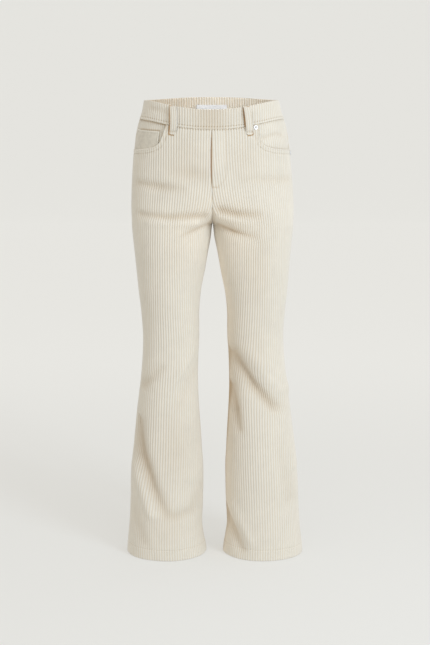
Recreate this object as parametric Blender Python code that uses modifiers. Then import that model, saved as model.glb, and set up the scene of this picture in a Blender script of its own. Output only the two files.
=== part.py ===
"""Flared trousers in wide-wale corduroy: four leg panels, a contoured waistband and their trims.

Metres, +Z up. The front faces -Y and the wearer's right side is at -X. The origin is the
centre of the waist opening, level with the waistband's top edge at the side seams.
"""

import math
from functools import lru_cache

import bpy
import numpy as np
from mathutils import Vector

# Driving dimensions.
OUTSEAM = 1.043
CROTCH_DROP = 0.272
HIP_DROP = 0.100  # the level where distances from the side seam are taken
LEAN = 0.007  # how far the hems hang towards +X of the waist

WALE_PITCH = 0.0059
WALE_HEIGHT = 0.0009
WALL = 0.0015  # cloth between the bottom of a groove and its plain inside
BAND_WALL = 0.0021
SEAM_GAP = 0.0003
LAYER_GAP = 0.0008  # between curved layers, whose flat facets bow towards each other
TRIM_WALL = 0.0010

BAND_DROP_SIDE = 0.0410  # the waistband's lower seam below the side's top edge
BAND_DROP_FRONT = 0.0620
BAND_DROP_BACK = 0.0405
WAIST_DIP_FRONT = 0.0190
WAIST_RISE_BACK = 0.0061
EDGE_POWER = 4  # a high power takes the dip or rise quickly in from the side seams

BLEND_DROP = 0.176  # above this a panel's rows follow its shaped top edge
FLY_END_DROP = 0.195
FLY_STEP = 0.0024
FLY_STEP_REACH = 0.016
FLY_GAP = 0.0022
FLY_FADE = 0.0300

LOOP_WIDTH = 0.0145
LOOP_STAND_OFF = 0.0070
LOOP_WALL = 0.0012
LOOP_TOP = 0.0010  # how far below the waistband's top edge a loop starts
LOOP_TAIL = 0.0188  # how far a loop's end reaches below the waistband's seam
LOOP_SEWN = 0.87  # below this share of its length the loop's end lies sewn down
LOOP_ARCH = 0.40  # a low power lifts the loop steeply at its sewn ends
LOOP_ROWS = (0.0, 0.06, 0.18, 0.36, 0.58, 0.76, LOOP_SEWN, 1.0)
LOOP_COLUMNS = ("name", "face", "arc", "lean")
LOOPS = (  # arc is where a loop's lower end is sewn, and lean how much further round its top is
    ("belt_loop_front_right", -1, -0.0845, 0.0000),
    ("belt_loop_front_left", -1, 0.0820, -0.0070),
    ("belt_loop_side_right", 1, -0.0850, 0.0000),
    ("belt_loop_back", 1, 0.0000, 0.0000),
    ("belt_loop_side_left", 1, 0.0850, 0.0000),
)

RIVET_RADIUS = 0.0050
RIVET_HEIGHT = 0.0016
RIVET_REACH = 0.1246  # round from the side seam to the rivet at the pocket's corner
RIVET_UNDER_BAND = 0.0053
RIVET_FROM_SEAM = 0.0065
RIVET_UNDER_SCOOP = 0.0080

COIN_TOP_SIDE = 0.0620
COIN_TOP_INNER = 0.0665
COIN_REACH = 0.1000  # round from the side seam
COIN_SIDE_SHARE = 0.05  # the share of that reach left free beside the side seam
COIN_UNDERLAY = 0.0072
POCKET_UNDERLAY = 0.0090  # how far a facing runs on behind the front

PLACKET_HALF_WIDTH = 0.0160
LABEL_WIDTH = 0.0710
LABEL_HEIGHT = 0.0240
LABEL_DROP = 0.0110
LABEL_WALL = 0.0006
LABEL_GAP = 0.00045

FRONT = -1
BACK = 1
RIGHT = -1  # the wearer's right, at -X
LEFT = 1

# One leg's outline at each height. outer and inner are measured from the centre plane,
# and a negative inner means that the two legs are still one body there. grain is where the
# straight grain runs, and square is the exponent of the rounded section.
SECTION_COLUMNS = ("drop", "outer", "inner", "front", "back", "grain", "square")
SECTIONS = (
    (0.000, 0.1480, -0.1480, 0.0980, 0.1040, 0.0800, 2.30),
    (0.022, 0.1530, -0.1530, 0.0990, 0.1080, 0.0810, 2.30),
    (0.045, 0.1605, -0.1605, 0.1000, 0.1125, 0.0830, 2.30),
    (0.070, 0.1670, -0.1670, 0.1005, 0.1170, 0.0850, 2.30),
    (0.105, 0.1720, -0.1720, 0.1005, 0.1240, 0.0860, 2.30),
    (0.140, 0.1750, -0.1750, 0.1000, 0.1300, 0.0870, 2.30),
    (0.190, 0.1793, -0.1500, 0.0990, 0.1340, 0.0880, 2.30),
    (0.215, 0.1805, -0.1000, 0.0980, 0.1320, 0.0885, 2.30),
    (0.235, 0.1811, -0.0550, 0.0965, 0.1280, 0.0890, 2.30),
    (0.252, 0.1808, -0.0220, 0.0955, 0.1230, 0.0895, 2.28),
    (0.264, 0.1804, -0.0060, 0.0945, 0.1180, 0.0900, 2.25),
    (0.272, 0.1804, 0.0000, 0.0940, 0.1150, 0.0900, 2.25),
    (0.285, 0.1800, 0.0034, 0.0930, 0.1100, 0.0905, 2.20),
    (0.300, 0.1788, 0.0050, 0.0920, 0.1060, 0.0910, 2.20),
    (0.320, 0.1770, 0.0085, 0.0905, 0.1010, 0.0920, 2.20),
    (0.340, 0.1750, 0.0125, 0.0880, 0.0965, 0.0925, 2.18),
    (0.380, 0.1714, 0.0193, 0.0835, 0.0885, 0.0940, 2.15),
    (0.425, 0.1675, 0.0282, 0.0780, 0.0815, 0.0950, 2.12),
    (0.475, 0.1620, 0.0331, 0.0720, 0.0745, 0.0965, 2.10),
    (0.530, 0.1591, 0.0333, 0.0665, 0.0670, 0.0965, 2.10),
    (0.570, 0.1607, 0.0356, 0.0650, 0.0645, 0.0975, 2.10),
    (0.635, 0.1668, 0.0369, 0.0660, 0.0640, 0.1010, 2.10),
    (0.710, 0.1768, 0.0346, 0.0695, 0.0675, 0.1050, 2.10),
    (0.780, 0.1845, 0.0302, 0.0735, 0.0720, 0.1070, 2.08),
    (0.850, 0.1922, 0.0268, 0.0770, 0.0765, 0.1090, 2.05),
    (0.925, 0.1954, 0.0280, 0.0795, 0.0795, 0.1110, 2.05),
    (0.975, 0.1985, 0.0300, 0.0810, 0.0810, 0.1125, 2.05),
    (1.010, 0.2022, 0.0255, 0.0820, 0.0820, 0.1130, 2.05),
    (1.043, 0.2045, 0.0200, 0.0830, 0.0830, 0.1125, 2.05),
)

# The front pocket's scooped edge: reach is the distance round from the side seam.
SCOOP_COLUMNS = ("reach", "drop")
SCOOP = (
    (0.0000, 0.1080),
    (0.0315, 0.1072),
    (0.0600, 0.1054),
    (0.0830, 0.1020),
    (0.0990, 0.0960),
    (0.1084, 0.0865),
    (0.1133, 0.0745),
    (0.1208, 0.0530),
    (0.1260, 0.0380),
)
SCOOP_CORNER = 0.1208  # the reach where the scoop meets the waistband
SCOOP_WIDER = {RIGHT: 0.000, LEFT: 0.006}
SCOOP_TURN = 0.1084  # the reach past which the scoop runs up to the waistband
SCOOP_STEEPER = {RIGHT: 1.0, LEFT: 1.9}  # how many times steeper it runs there

# Soft troughs (height below nought) and ridges of the worn cloth. Each runs along a path in
# the view from the front or back: x from the centre plane, drop from the waist, height there.
FOLD_COLUMNS = ("side", "face", "width", "path")
FOLDS = (
    # right side of the front: hip, seat, crotch, knee, shin and hem
    (RIGHT, FRONT, 0.010, ((0.161, 0.181, -0.0050), (0.114, 0.187, -0.0070), (0.066, 0.192, -0.0020))),
    (RIGHT, FRONT, 0.016, ((0.087, 0.154, -0.0020), (0.050, 0.158, -0.0045), (0.013, 0.162, -0.0030))),
    (RIGHT, FRONT, 0.009, ((0.158, 0.248, -0.0050), (0.093, 0.254, -0.0070), (0.014, 0.250, -0.0060))),
    (RIGHT, FRONT, 0.009, ((0.137, 0.263, 0.0025), (0.038, 0.267, 0.0045))),
    (RIGHT, FRONT, 0.007, ((0.005, 0.269, -0.0065), (0.035, 0.280, -0.0060), (0.069, 0.294, -0.0015))),
    (RIGHT, FRONT, 0.010, ((0.166, 0.602, -0.0080), (0.112, 0.604, -0.0030))),
    (RIGHT, FRONT, 0.010, ((0.039, 0.554, 0.0020), (0.070, 0.602, 0.0050), (0.103, 0.650, 0.0020))),
    (RIGHT, FRONT, 0.009, ((0.035, 0.581, -0.0020), (0.076, 0.680, -0.0040))),
    (RIGHT, FRONT, 0.013, (
        (0.176, 0.724, -0.0065), (0.166, 0.798, -0.0120),
        (0.142, 0.870, -0.0130), (0.111, 0.933, -0.0090),
    )),
    (RIGHT, FRONT, 0.012, ((0.090, 0.940, -0.0040), (0.051, 0.928, -0.0040), (0.035, 0.877, -0.0015))),
    (RIGHT, FRONT, 0.010, ((0.193, 0.912, -0.0030), (0.160, 1.002, -0.0055))),
    (RIGHT, FRONT, 0.010, ((0.185, 0.830, 0.0020), (0.147, 0.936, 0.0050))),
    # left side of the front, in the same order
    (LEFT, FRONT, 0.010, ((0.105, 0.082, -0.0020), (0.155, 0.074, -0.0030))),
    (LEFT, FRONT, 0.010, ((0.061, 0.169, -0.0015), (0.165, 0.173, -0.0035))),
    (LEFT, FRONT, 0.010, ((0.008, 0.237, -0.0085), (0.052, 0.245, -0.0090), (0.100, 0.248, -0.0040))),
    (LEFT, FRONT, 0.008, ((0.015, 0.254, 0.0045), (0.082, 0.265, 0.0020))),
    (LEFT, FRONT, 0.009, ((0.010, 0.272, -0.0090), (0.043, 0.287, -0.0095), (0.109, 0.303, -0.0030))),
    (LEFT, FRONT, 0.013, (
        (0.044, 0.565, -0.0080), (0.085, 0.630, -0.0130),
        (0.130, 0.680, -0.0120), (0.159, 0.696, -0.0030),
    )),
    (LEFT, FRONT, 0.016, ((0.082, 0.558, 0.0030), (0.132, 0.623, 0.0060), (0.168, 0.650, 0.0040))),
    (LEFT, FRONT, 0.008, ((0.123, 0.607, -0.0020), (0.154, 0.637, -0.0035))),
    (LEFT, FRONT, 0.009, ((0.039, 0.641, -0.0040), (0.050, 0.692, -0.0075), (0.057, 0.738, -0.0040))),
    (LEFT, FRONT, 0.010, ((0.024, 0.931, -0.0045), (0.044, 0.976, -0.0090), (0.065, 1.018, -0.0070))),
    (LEFT, FRONT, 0.010, ((0.040, 0.919, 0.0020), (0.081, 0.995, 0.0040))),
    (LEFT, FRONT, 0.010, ((0.157, 0.710, 0.0020), (0.182, 0.830, 0.0045))),
    (LEFT, FRONT, 0.010, ((0.145, 0.761, -0.0015), (0.164, 0.900, -0.0035))),
    # right side of the back: seat, under the seat, behind the knee and down the flare
    (RIGHT, BACK, 0.012, ((0.150, 0.200, -0.0010), (0.070, 0.225, -0.0035), (0.020, 0.252, -0.0030))),
    (RIGHT, BACK, 0.015, ((0.030, 0.250, 0.0015), (0.100, 0.264, 0.0030))),
    (RIGHT, BACK, 0.013, ((0.015, 0.285, -0.0040), (0.060, 0.296, -0.0055), (0.150, 0.282, -0.0025))),
    (RIGHT, BACK, 0.012, ((0.045, 0.515, -0.0030), (0.100, 0.535, -0.0065), (0.155, 0.540, -0.0030))),
    (RIGHT, BACK, 0.012, ((0.150, 0.575, -0.0030), (0.100, 0.592, -0.0055), (0.050, 0.615, -0.0025))),
    (RIGHT, BACK, 0.014, ((0.080, 0.700, -0.0025), (0.085, 0.800, -0.0060), (0.060, 0.930, -0.0030))),
    (RIGHT, BACK, 0.014, ((0.160, 0.780, -0.0015), (0.150, 0.900, -0.0045), (0.125, 0.990, -0.0030))),
    # left side of the back, in the same order
    (LEFT, BACK, 0.012, ((0.145, 0.212, -0.0015), (0.080, 0.232, -0.0035), (0.022, 0.250, -0.0025))),
    (LEFT, BACK, 0.015, ((0.030, 0.248, 0.0015), (0.105, 0.266, 0.0030))),
    (LEFT, BACK, 0.013, ((0.015, 0.284, -0.0045), (0.065, 0.294, -0.0055), (0.155, 0.278, -0.0020))),
    (LEFT, BACK, 0.012, ((0.150, 0.512, -0.0030), (0.095, 0.536, -0.0065), (0.045, 0.548, -0.0030))),
    (LEFT, BACK, 0.012, ((0.055, 0.585, -0.0025), (0.105, 0.605, -0.0055), (0.155, 0.622, -0.0025))),
    (LEFT, BACK, 0.014, ((0.140, 0.710, -0.0030), (0.150, 0.820, -0.0060), (0.168, 0.930, -0.0025))),
    (LEFT, BACK, 0.014, ((0.070, 0.760, -0.0015), (0.080, 0.880, -0.0045), (0.105, 0.985, -0.0030))),
)

# The rows of a panel, as drops from the waist. The first is its top edge.
ROW_DROPS = {
    FRONT: (
        BAND_DROP_FRONT, 0.105, 0.142, BLEND_DROP, 0.212, 0.242, 0.260, CROTCH_DROP, 0.294, 0.340,
        0.420, 0.510, 0.565, 0.605, 0.645, 0.700, 0.800, 0.915, OUTSEAM,
    ),
    BACK: (
        BAND_DROP_BACK, 0.105, BLEND_DROP, 0.225, 0.254, CROTCH_DROP, 0.294,
        0.345, 0.450, 0.530, 0.600, 0.740, 0.890, OUTSEAM,
    ),
}
INNER_STEP = 4  # a plain inside has a point every so many half wales
KEYS_TO_MIDDLE = 100  # more half wales than lie between the grain and the centre seam

CREAM = (0.80, 0.74, 0.62)
PALE = (0.72, 0.68, 0.60)
WHITE = (0.85, 0.86, 0.88)
STEEL = (0.62, 0.63, 0.65)


def smooth_lookup(table, columns, name, at):
    """A column of a table at a place between its rows, through a curve with no overshoot."""
    places = np.array([row[0] for row in table])
    values = np.array([row[columns.index(name)] for row in table])
    slopes = np.gradient(values, places)
    chords = np.diff(values) / np.diff(places)
    for index in range(1, len(values) - 1):
        if chords[index - 1] * chords[index] <= 0:
            slopes[index] = 0.0
    at = min(max(at, places[0]), places[-1])
    low = min(max(int(np.searchsorted(places, at)) - 1, 0), len(places) - 2)
    span = places[low + 1] - places[low]
    t = (at - places[low]) / span
    return float(
        (2 * t**3 - 3 * t**2 + 1) * values[low]
        + (t**3 - 2 * t**2 + t) * span * slopes[low]
        + (3 * t**2 - 2 * t**3) * values[low + 1]
        + (t**3 - t**2) * span * slopes[low + 1]
    )


NEAR = 0.0015  # slopes are taken over this distance
FOLD_FADE = 0.0200  # folds die away over this much cloth beside a seam
RING_SAMPLES = 260
RING_OVERRUN = 0.5  # radians that a ring's curve runs on past each seam


@lru_cache(maxsize=None)
def ring(face, drop):
    """Half a leg's section at a drop: distance round from the grain, x, y and both seams."""
    outer, inner, depth, grain, square = (
        smooth_lookup(SECTIONS, SECTION_COLUMNS, name, drop)
        for name in ("outer", "inner", "front" if face == FRONT else "back", "grain", "square")
    )
    middle = (outer + inner) / 2
    half = (outer - inner) / 2
    angles = np.linspace(math.pi + RING_OVERRUN, -RING_OVERRUN, RING_SAMPLES)
    cosines, sines = np.cos(angles), np.sin(angles)
    xs = middle + half * np.sign(cosines) * np.abs(cosines) ** (2 / square)
    ys = face * depth * np.sign(sines) * np.abs(sines) ** (2 / square)
    lengths = np.concatenate([[0.0], np.cumsum(np.hypot(np.diff(xs), np.diff(ys)))])
    centre_share = min(max(middle / half, 0.0), 1.0)
    centre_angle = math.acos(-(centre_share ** (square / 2)))
    to_length = lambda angle: float(np.interp(-angle, -angles, lengths))
    grain_cosine = (grain - middle) / half
    grain_angle = math.acos(math.copysign(abs(grain_cosine) ** (square / 2), grain_cosine))
    origin = to_length(grain_angle)
    return lengths - origin, xs, ys, to_length(centre_angle) - origin, to_length(0.0) - origin, depth


def fold_height(side, face, x, drop):
    total = 0.0
    for row in FOLDS:
        fold = dict(zip(FOLD_COLUMNS, row))
        if (fold["side"], fold["face"]) != (side, face):
            continue
        path = fold["path"]
        nearest = None
        for (x0, drop0, height0), (x1, drop1, height1) in zip(path[:-1], path[1:]):
            along = Vector((x1 - x0, drop1 - drop0))
            away = Vector((x - x0, drop - drop0))
            t = min(max(away.dot(along) / along.length_squared, 0.0), 1.0)
            distance = (away - along * t).length
            if nearest is None or distance < nearest[0]:
                nearest = (distance, height0 + (height1 - height0) * t)
        total += nearest[1] * math.exp(-((nearest[0] / fold["width"]) ** 2))
    return total


def fly_lap(x, drop):
    """The left front stands proud along the mock fly, where it laps over the right."""
    from_band, from_end = drop - BAND_DROP_FRONT, FLY_END_DROP + FLY_FADE / 3 - drop
    open_part = min(max(min(from_band, from_end) / FLY_FADE, 0.0), 1.0)
    return FLY_STEP * open_part * math.exp(-x / FLY_STEP_REACH)


def seam_fade(s, seams):
    """Folds die away towards the seams at both edges, so that the edges sewn there meet."""
    near_seam = min(max(min(s - seams[0], seams[1] - s) / FOLD_FADE, 0.0), 1.0)
    return near_seam * near_seam * (3 - 2 * near_seam)


def cloth(side, face, s, drop):
    """A point of the worn cloth, s round from the grain, with its folds."""
    lengths, xs, ys, *seams = ring(face, round(drop, 6))[:5]
    x, y = float(np.interp(s, lengths, xs)), float(np.interp(s, lengths, ys))
    dx = float(np.interp(s + NEAR, lengths, xs) - np.interp(s - NEAR, lengths, xs))
    dy = float(np.interp(s + NEAR, lengths, ys) - np.interp(s - NEAR, lengths, ys))
    outward = Vector((dy, -dx, 0.0)) * -face
    outward.normalize()
    height = fold_height(side, face, max(x, 0.0), drop) * seam_fade(s, seams)
    if side == LEFT and face == FRONT:
        height += fly_lap(max(x, 0.0), drop)
    return Vector((x, y, -drop)) + outward * height


def lifted(side, face, s, drop, lift, seam=None):
    """A point of the cloth moved out along its normal; a seam keeps it in its own plane."""
    along = cloth(side, face, s + NEAR, drop) - cloth(side, face, s - NEAR, drop)
    up = cloth(side, face, s, drop - 2 * NEAR) - cloth(side, face, s, drop + 2 * NEAR)
    normal = along.cross(up) * -face
    if seam == "centre":
        normal.x = 0.0
    if seam == "side":
        normal.y = 0.0
    normal.normalize()
    point = cloth(side, face, s, drop) + normal * lift
    point.x = max(point.x, SEAM_GAP / 2)
    return Vector((side * point.x + LEAN * drop / OUTSEAM, point.y, point.z))


def round_from_centre(face, arc, drop, lift):
    """A point placed by its signed distance round from the centre seam."""
    side = LEFT if arc >= 0 else RIGHT
    start = ring(face, round(drop, 6))[3]
    point = lifted(side, face, start + abs(arc), drop, lift)
    if arc == 0:
        point.x = LEAN * drop / OUTSEAM
    return point


def edge_drop(face, s, at_side, at_middle):
    """The drop of an edge that runs level at the side and dips or rises to the middle."""
    drop = at_side
    for _ in range(4):
        lengths, _, ys, _, _, depth = ring(face, round(drop, 6))
        y = float(np.interp(s, lengths, ys))
        drop = at_side + (at_middle - at_side) * (y / depth) ** EDGE_POWER
    return drop


def band_top(face, s):
    return edge_drop(face, s, 0.0, WAIST_DIP_FRONT if face == FRONT else -WAIST_RISE_BACK)


def band_seam(face, s):
    return edge_drop(face, s, BAND_DROP_SIDE, BAND_DROP_FRONT if face == FRONT else BAND_DROP_BACK)


def scoop_drop(side, s):
    side_seam = ring(FRONT, HIP_DROP)[4]
    reach = side_seam - s - SCOOP_WIDER[side]
    reach += (SCOOP_STEEPER[side] - 1.0) * max(reach - SCOOP_TURN, 0.0)
    return smooth_lookup(SCOOP, SCOOP_COLUMNS, "drop", reach)


def panel_top(side, face, s):
    top = band_seam(face, s) + SEAM_GAP
    if face == FRONT:
        top = max(top, scoop_drop(side, s))
    return top


def panel_drop(side, face, index, s):
    """The drop of a panel's row at a place: its shaped top edge blends into level rows."""
    drops = ROW_DROPS[face]
    if drops[index] >= BLEND_DROP:
        return drops[index]
    top = panel_top(side, face, s)
    share = (drops[index] - drops[0]) / (BLEND_DROP - drops[0])
    return top + share * (BLEND_DROP - top)


def fly_opening(drop):
    top, bottom = BAND_DROP_FRONT, FLY_END_DROP
    place = (drop - top) / (bottom - top)
    return FLY_GAP * math.sin(math.pi * place) if 0 < place < 1 else 0.0


def row_ends(side, face, drop_at, opening):
    """Where a row starts at the centre or inside seam and ends at the side seam."""
    ends = []
    for which in (3, 4):
        s = ring(face, HIP_DROP)[which]
        for _ in range(5):
            s = ring(face, round(drop_at(s), 6))[which]
        ends.append(s)
    start = ends[0] + SEAM_GAP / 2 + (opening(drop_at(ends[0])) if opening else 0.0)
    return start, ends[1] - SEAM_GAP / 2


def cloth_row(side, face, drop_at, step, lift_of, start=None, opening=None, end_lift=None):
    """One row of keyed points. Keys count half wales from the grain, and ends are seams."""
    seam_start, end = row_ends(side, face, drop_at, opening)
    first_seam = None
    if start is None:
        start = seam_start
        first_seam = "centre" if drop_at(start) < CROTCH_DROP else "side"
    half = WALE_PITCH / 2
    row = [(-math.inf, lifted(side, face, start, drop_at(start), lift_of(None), first_seam))]
    for key in range(math.ceil((start + half / 2) / half), math.floor((end - half / 2) / half) + 1):
        if key % step == 0:
            row.append((key, lifted(side, face, key * half, drop_at(key * half), lift_of(key))))
    end_lift = lift_of(None) if end_lift is None else end_lift
    row.append((math.inf, lifted(side, face, end, drop_at(end), end_lift, "side")))
    return row


def outside_lift(key):
    """Grooves lie at nought and crests stand up, and a seam lies at the groove."""
    return WALE_HEIGHT if key is not None and key % 2 == 0 else 0.0


def zipped(lower, upper, turned):
    """Triangles between two rows of keyed vertices, matched by their keys."""
    faces = []
    i = j = 0
    while i < len(lower) - 1 or j < len(upper) - 1:
        next_lower = lower[i + 1][0] if i < len(lower) - 1 else None
        next_upper = upper[j + 1][0] if j < len(upper) - 1 else None
        both = next_lower is not None and next_upper is not None and next_lower == next_upper
        if both or next_upper is None or (next_lower is not None and next_lower < next_upper):
            faces.append((lower[i][1], lower[i + 1][1], upper[j][1]))
            i += 1
        if both or next_lower is None or (next_upper is not None and next_upper < next_lower):
            faces.append((lower[i][1], upper[j + 1][1], upper[j][1]))
            j += 1
    return [face[::-1] for face in faces] if turned else faces


def add_object(name, mesh, colour, roughness, metallic=0.0):
    material = bpy.data.materials.new(name)
    material.use_nodes = True
    shader = material.node_tree.nodes["Principled BSDF"]
    shader.inputs["Base Color"].default_value = (*colour, 1.0)
    shader.inputs["Roughness"].default_value = roughness
    shader.inputs["Metallic"].default_value = metallic
    mesh.materials.append(material)
    thing = bpy.data.objects.new(name, mesh)
    parts.objects.link(thing)
    return thing


def closed_wall(name, outer_rows, inner_rows, turned, colour=CREAM):
    """A closed wall from rows listed top to bottom: its outside, its plain inside and rims."""
    points = []

    def numbered(rows):
        result = []
        for row in rows:
            result.append([(key, len(points) + place) for place, (key, _) in enumerate(row)])
            points.extend(point for _, point in row)
        return result

    outer, inner = numbered(outer_rows), numbered(inner_rows)
    faces = []
    for index in range(len(outer) - 1):
        faces += zipped(outer[index + 1], outer[index], turned)
        faces += zipped(inner[index + 1], inner[index], not turned)
        for end in (0, -1):
            side = [
                (0, outer[index + 1][end][1]),
                (1, outer[index][end][1]),
            ]
            back = [
                (0, inner[index + 1][end][1]),
                (1, inner[index][end][1]),
            ]
            faces += zipped(side, back, turned == (end == 0))
    faces += zipped(outer[0], inner[0], turned)
    faces += zipped(outer[-1], inner[-1], not turned)
    mesh = bpy.data.meshes.new(name)
    mesh.from_pydata([tuple(point) for point in points], [], faces)
    mesh.validate()
    return add_object(name, mesh, colour, 0.85)


def turned_for(side, face):
    return side * face == 1


def make_panel(name, side, face):
    opening = fly_opening if (side, face) == (RIGHT, FRONT) else None
    outer, inner = [], []
    for index in range(len(ROW_DROPS[face])):
        drop_at = lambda s, index=index: panel_drop(side, face, index, s)
        outer.append(cloth_row(side, face, drop_at, 1, outside_lift, opening=opening))
        inner.append(cloth_row(side, face, drop_at, INNER_STEP, lambda key: -WALL, opening=opening))
    closed_wall(name, outer, inner, turned_for(side, face))


def make_band(name, face):
    """Half the waistband, from one side seam round the middle to the other."""
    outer, inner = [], []
    for edge in (band_top, band_seam):
        for step, lift_of, rows in ((1, outside_lift, outer), (INNER_STEP, lambda key: -BAND_WALL, inner)):
            right, left = (
                cloth_row(side, face, lambda s: edge(face, s), step, lift_of)[1:] for side in (RIGHT, LEFT)
            )
            middle = KEYS_TO_MIDDLE  # keys past the centre seam go on counting round the band
            row = [(-key - middle, point) for key, point in reversed(right)]
            rows.append(row + [(key + middle, point) for key, point in left])
    closed_wall(name, outer, inner, turned_for(LEFT, face))


def make_facing(name, side, crest_lift):
    """The ribbed cloth that shows inside the scooped pocket, sewn behind the front."""
    reach = SCOOP_CORNER + SCOOP_WIDER[side] + POCKET_UNDERLAY
    start = ring(FRONT, HIP_DROP)[4] - reach
    groove_lift = crest_lift - WALE_HEIGHT
    outer, inner = [], []
    for share in (0.0, 0.5, 1.0):

        def drop_at(s):
            top = band_seam(FRONT, s) + SEAM_GAP
            bottom = max(scoop_drop(side, s), top) + POCKET_UNDERLAY
            return top + share * (bottom - top)

        # in the pocket's opening the facing comes out to the side seam, and below it lies behind
        end_lift = 0.0 if share < 1.0 else groove_lift
        outer.append(cloth_row(
            side, FRONT, drop_at, 1, lambda key: groove_lift + outside_lift(key), start, end_lift=end_lift,
        ))
        inner.append(cloth_row(
            side, FRONT, drop_at, INNER_STEP, lambda key: groove_lift - TRIM_WALL, start,
            end_lift=end_lift - TRIM_WALL,
        ))
    closed_wall(name, outer, inner, turned_for(side, FRONT))


def make_patch(name, rows, colour, thickness=TRIM_WALL):
    """A plain piece from a grid of points on its outer face, with a wall behind it."""
    columns = len(rows[0])
    points = [tuple(point) for row in rows for point in row]
    faces = []
    for i in range(len(rows) - 1):
        for j in range(columns - 1):
            corner = i * columns + j
            faces.append((corner, corner + columns, corner + columns + 1, corner + 1))
    mesh = bpy.data.meshes.new(name)
    mesh.from_pydata(points, [], faces)
    piece = add_object(name, mesh, colour, 0.85)
    wall = piece.modifiers.new("wall", "SOLIDIFY")
    wall.thickness = thickness
    wall.offset = -1.0
    wall.use_even_offset = True
    return piece


def make_coin_pocket():
    """The small plain pocket sewn on the right facing, under the scoop's edge."""
    side_seam = ring(FRONT, HIP_DROP)[4]
    rows = []
    for share in (0.0, 0.35, 0.7, 1.0):
        row = []
        for along in np.linspace(1.0, COIN_SIDE_SHARE, 9):
            reach = along * COIN_REACH
            top = COIN_TOP_SIDE + (COIN_TOP_INNER - COIN_TOP_SIDE) * along
            bottom = scoop_drop(RIGHT, side_seam - reach) + COIN_UNDERLAY
            drop = top + share * (bottom - top)
            row.append(lifted(RIGHT, FRONT, ring(FRONT, drop)[4] - reach, drop, -WALL - LAYER_GAP))
        rows.append(row[::-1])
    make_patch("coin_pocket", rows, PALE)


def make_placket():
    """The plain strip behind the mock fly's edge."""
    lift = -WALL - LAYER_GAP
    rows = []
    for drop in (BAND_DROP_FRONT + 2 * SEAM_GAP, *ROW_DROPS[FRONT][1:5]):
        row = []
        lean = LEAN * drop / OUTSEAM
        for across in (-1.0, -0.5, 0.0, 0.5, 1.0):
            start = ring(FRONT, round(drop, 6))[3]
            point = lifted(RIGHT, FRONT, start + abs(across) * PLACKET_HALF_WIDTH, drop, lift)
            distance = lean - point.x if across else 0.0
            point.x = lean + math.copysign(distance, across)
            row.append(point)
        rows.append(row)
    make_patch("fly_placket", rows, PALE)


def make_label():
    """A blank woven label inside the back of the waistband."""
    lift = -BAND_WALL - LABEL_GAP
    rows = []
    for drop in (LABEL_DROP + LABEL_HEIGHT, LABEL_DROP):
        row = []
        for across in np.linspace(-0.5, 0.5, 9):
            row.append(round_from_centre(BACK, across * LABEL_WIDTH, drop, lift))
        rows.append(row)
    make_patch("label", rows, WHITE, LABEL_WALL)


def make_loop(name, face, arc, lean):
    """A belt loop: a strip of three wales, sewn at both ends and standing off between."""
    middle = ring(face, BAND_DROP_SIDE)[3]
    top = band_top(face, middle + abs(arc + lean)) + LOOP_TOP
    bottom = band_seam(face, middle + abs(arc)) + LOOP_TAIL
    seat = WALE_HEIGHT + SEAM_GAP
    outer, inner = [], []
    across = LOOP_WIDTH / 6
    for share in LOOP_ROWS:
        drop = top + share * (bottom - top)
        arch = math.sin(math.pi * share / LOOP_SEWN) ** LOOP_ARCH if 0 < share < LOOP_SEWN else 0.0
        under = seat + LOOP_STAND_OFF * arch
        over = under + LOOP_WALL
        place = arc + lean * (1.0 - share)
        outer.append([
            (key, round_from_centre(face, place + key * across, drop, over + outside_lift(key)))
            for key in range(-3, 4)
        ])
        inner.append([(key, round_from_centre(face, place + key * across, drop, under)) for key in (-3, 3)])
    closed_wall(name, outer, inner, turned_for(LEFT, face))


def make_rivet(name, side, s, drop):
    """A domed rivet with a sunk centre, turned about the cloth's normal."""
    seat = lifted(side, FRONT, s, drop, WALE_HEIGHT + SEAM_GAP)
    normal = (lifted(side, FRONT, s, drop, 0.01) - lifted(side, FRONT, s, drop, 0.0)).normalized()
    outline = (
        (0.0, 0.35), (0.30, 0.35), (0.45, 0.85), (0.72, 1.0), (0.92, 0.75), (1.0, 0.30), (1.0, 0.0), (0.0, 0.0),
    )
    mesh = bpy.data.meshes.new(name)
    points = [(radius * RIVET_RADIUS, 0.0, height * RIVET_HEIGHT) for radius, height in outline]
    mesh.from_pydata(points, [(i, i + 1) for i in range(len(points) - 1)], [])
    rivet = add_object(name, mesh, STEEL, 0.3, 1.0)
    turn = rivet.modifiers.new("turn", "SCREW")
    turn.steps = 12
    turn.render_steps = 12
    turn.use_merge_vertices = True
    turn.merge_threshold = 0.00001
    rivet.location = seat
    rivet.rotation_mode = "QUATERNION"
    rivet.rotation_quaternion = Vector((0.0, 0.0, 1.0)).rotation_difference(normal)


def main():
    make_panel("front_right", RIGHT, FRONT)
    make_panel("front_left", LEFT, FRONT)
    make_panel("back_right", RIGHT, BACK)
    make_panel("back_left", LEFT, BACK)
    make_band("waistband_front", FRONT)
    make_band("waistband_back", BACK)
    make_facing("pocket_facing_right", RIGHT, -WALL - 2 * LAYER_GAP - TRIM_WALL)
    make_facing("pocket_facing_left", LEFT, -WALL - LAYER_GAP)
    make_coin_pocket()
    make_placket()
    make_label()
    for row in LOOPS:
        make_loop(**dict(zip(LOOP_COLUMNS, row)))
    side_seam = ring(FRONT, HIP_DROP)[4]
    corner = side_seam - RIVET_REACH
    make_rivet("rivet_pocket_left", LEFT, corner, band_seam(FRONT, corner) + RIVET_UNDER_BAND)
    make_rivet("rivet_seam_left", LEFT, side_seam - RIVET_FROM_SEAM, SCOOP[0][1] + RIVET_UNDER_SCOOP)


for old in list(bpy.data.objects):
    bpy.data.objects.remove(old)
parts = bpy.data.collections.new("corduroy_trousers")
bpy.context.scene.collection.children.link(parts)
main()
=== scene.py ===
import math

import bmesh
import bpy
import numpy as np
from mathutils import Matrix, Vector
from mathutils.bvhtree import BVHTree


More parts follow.
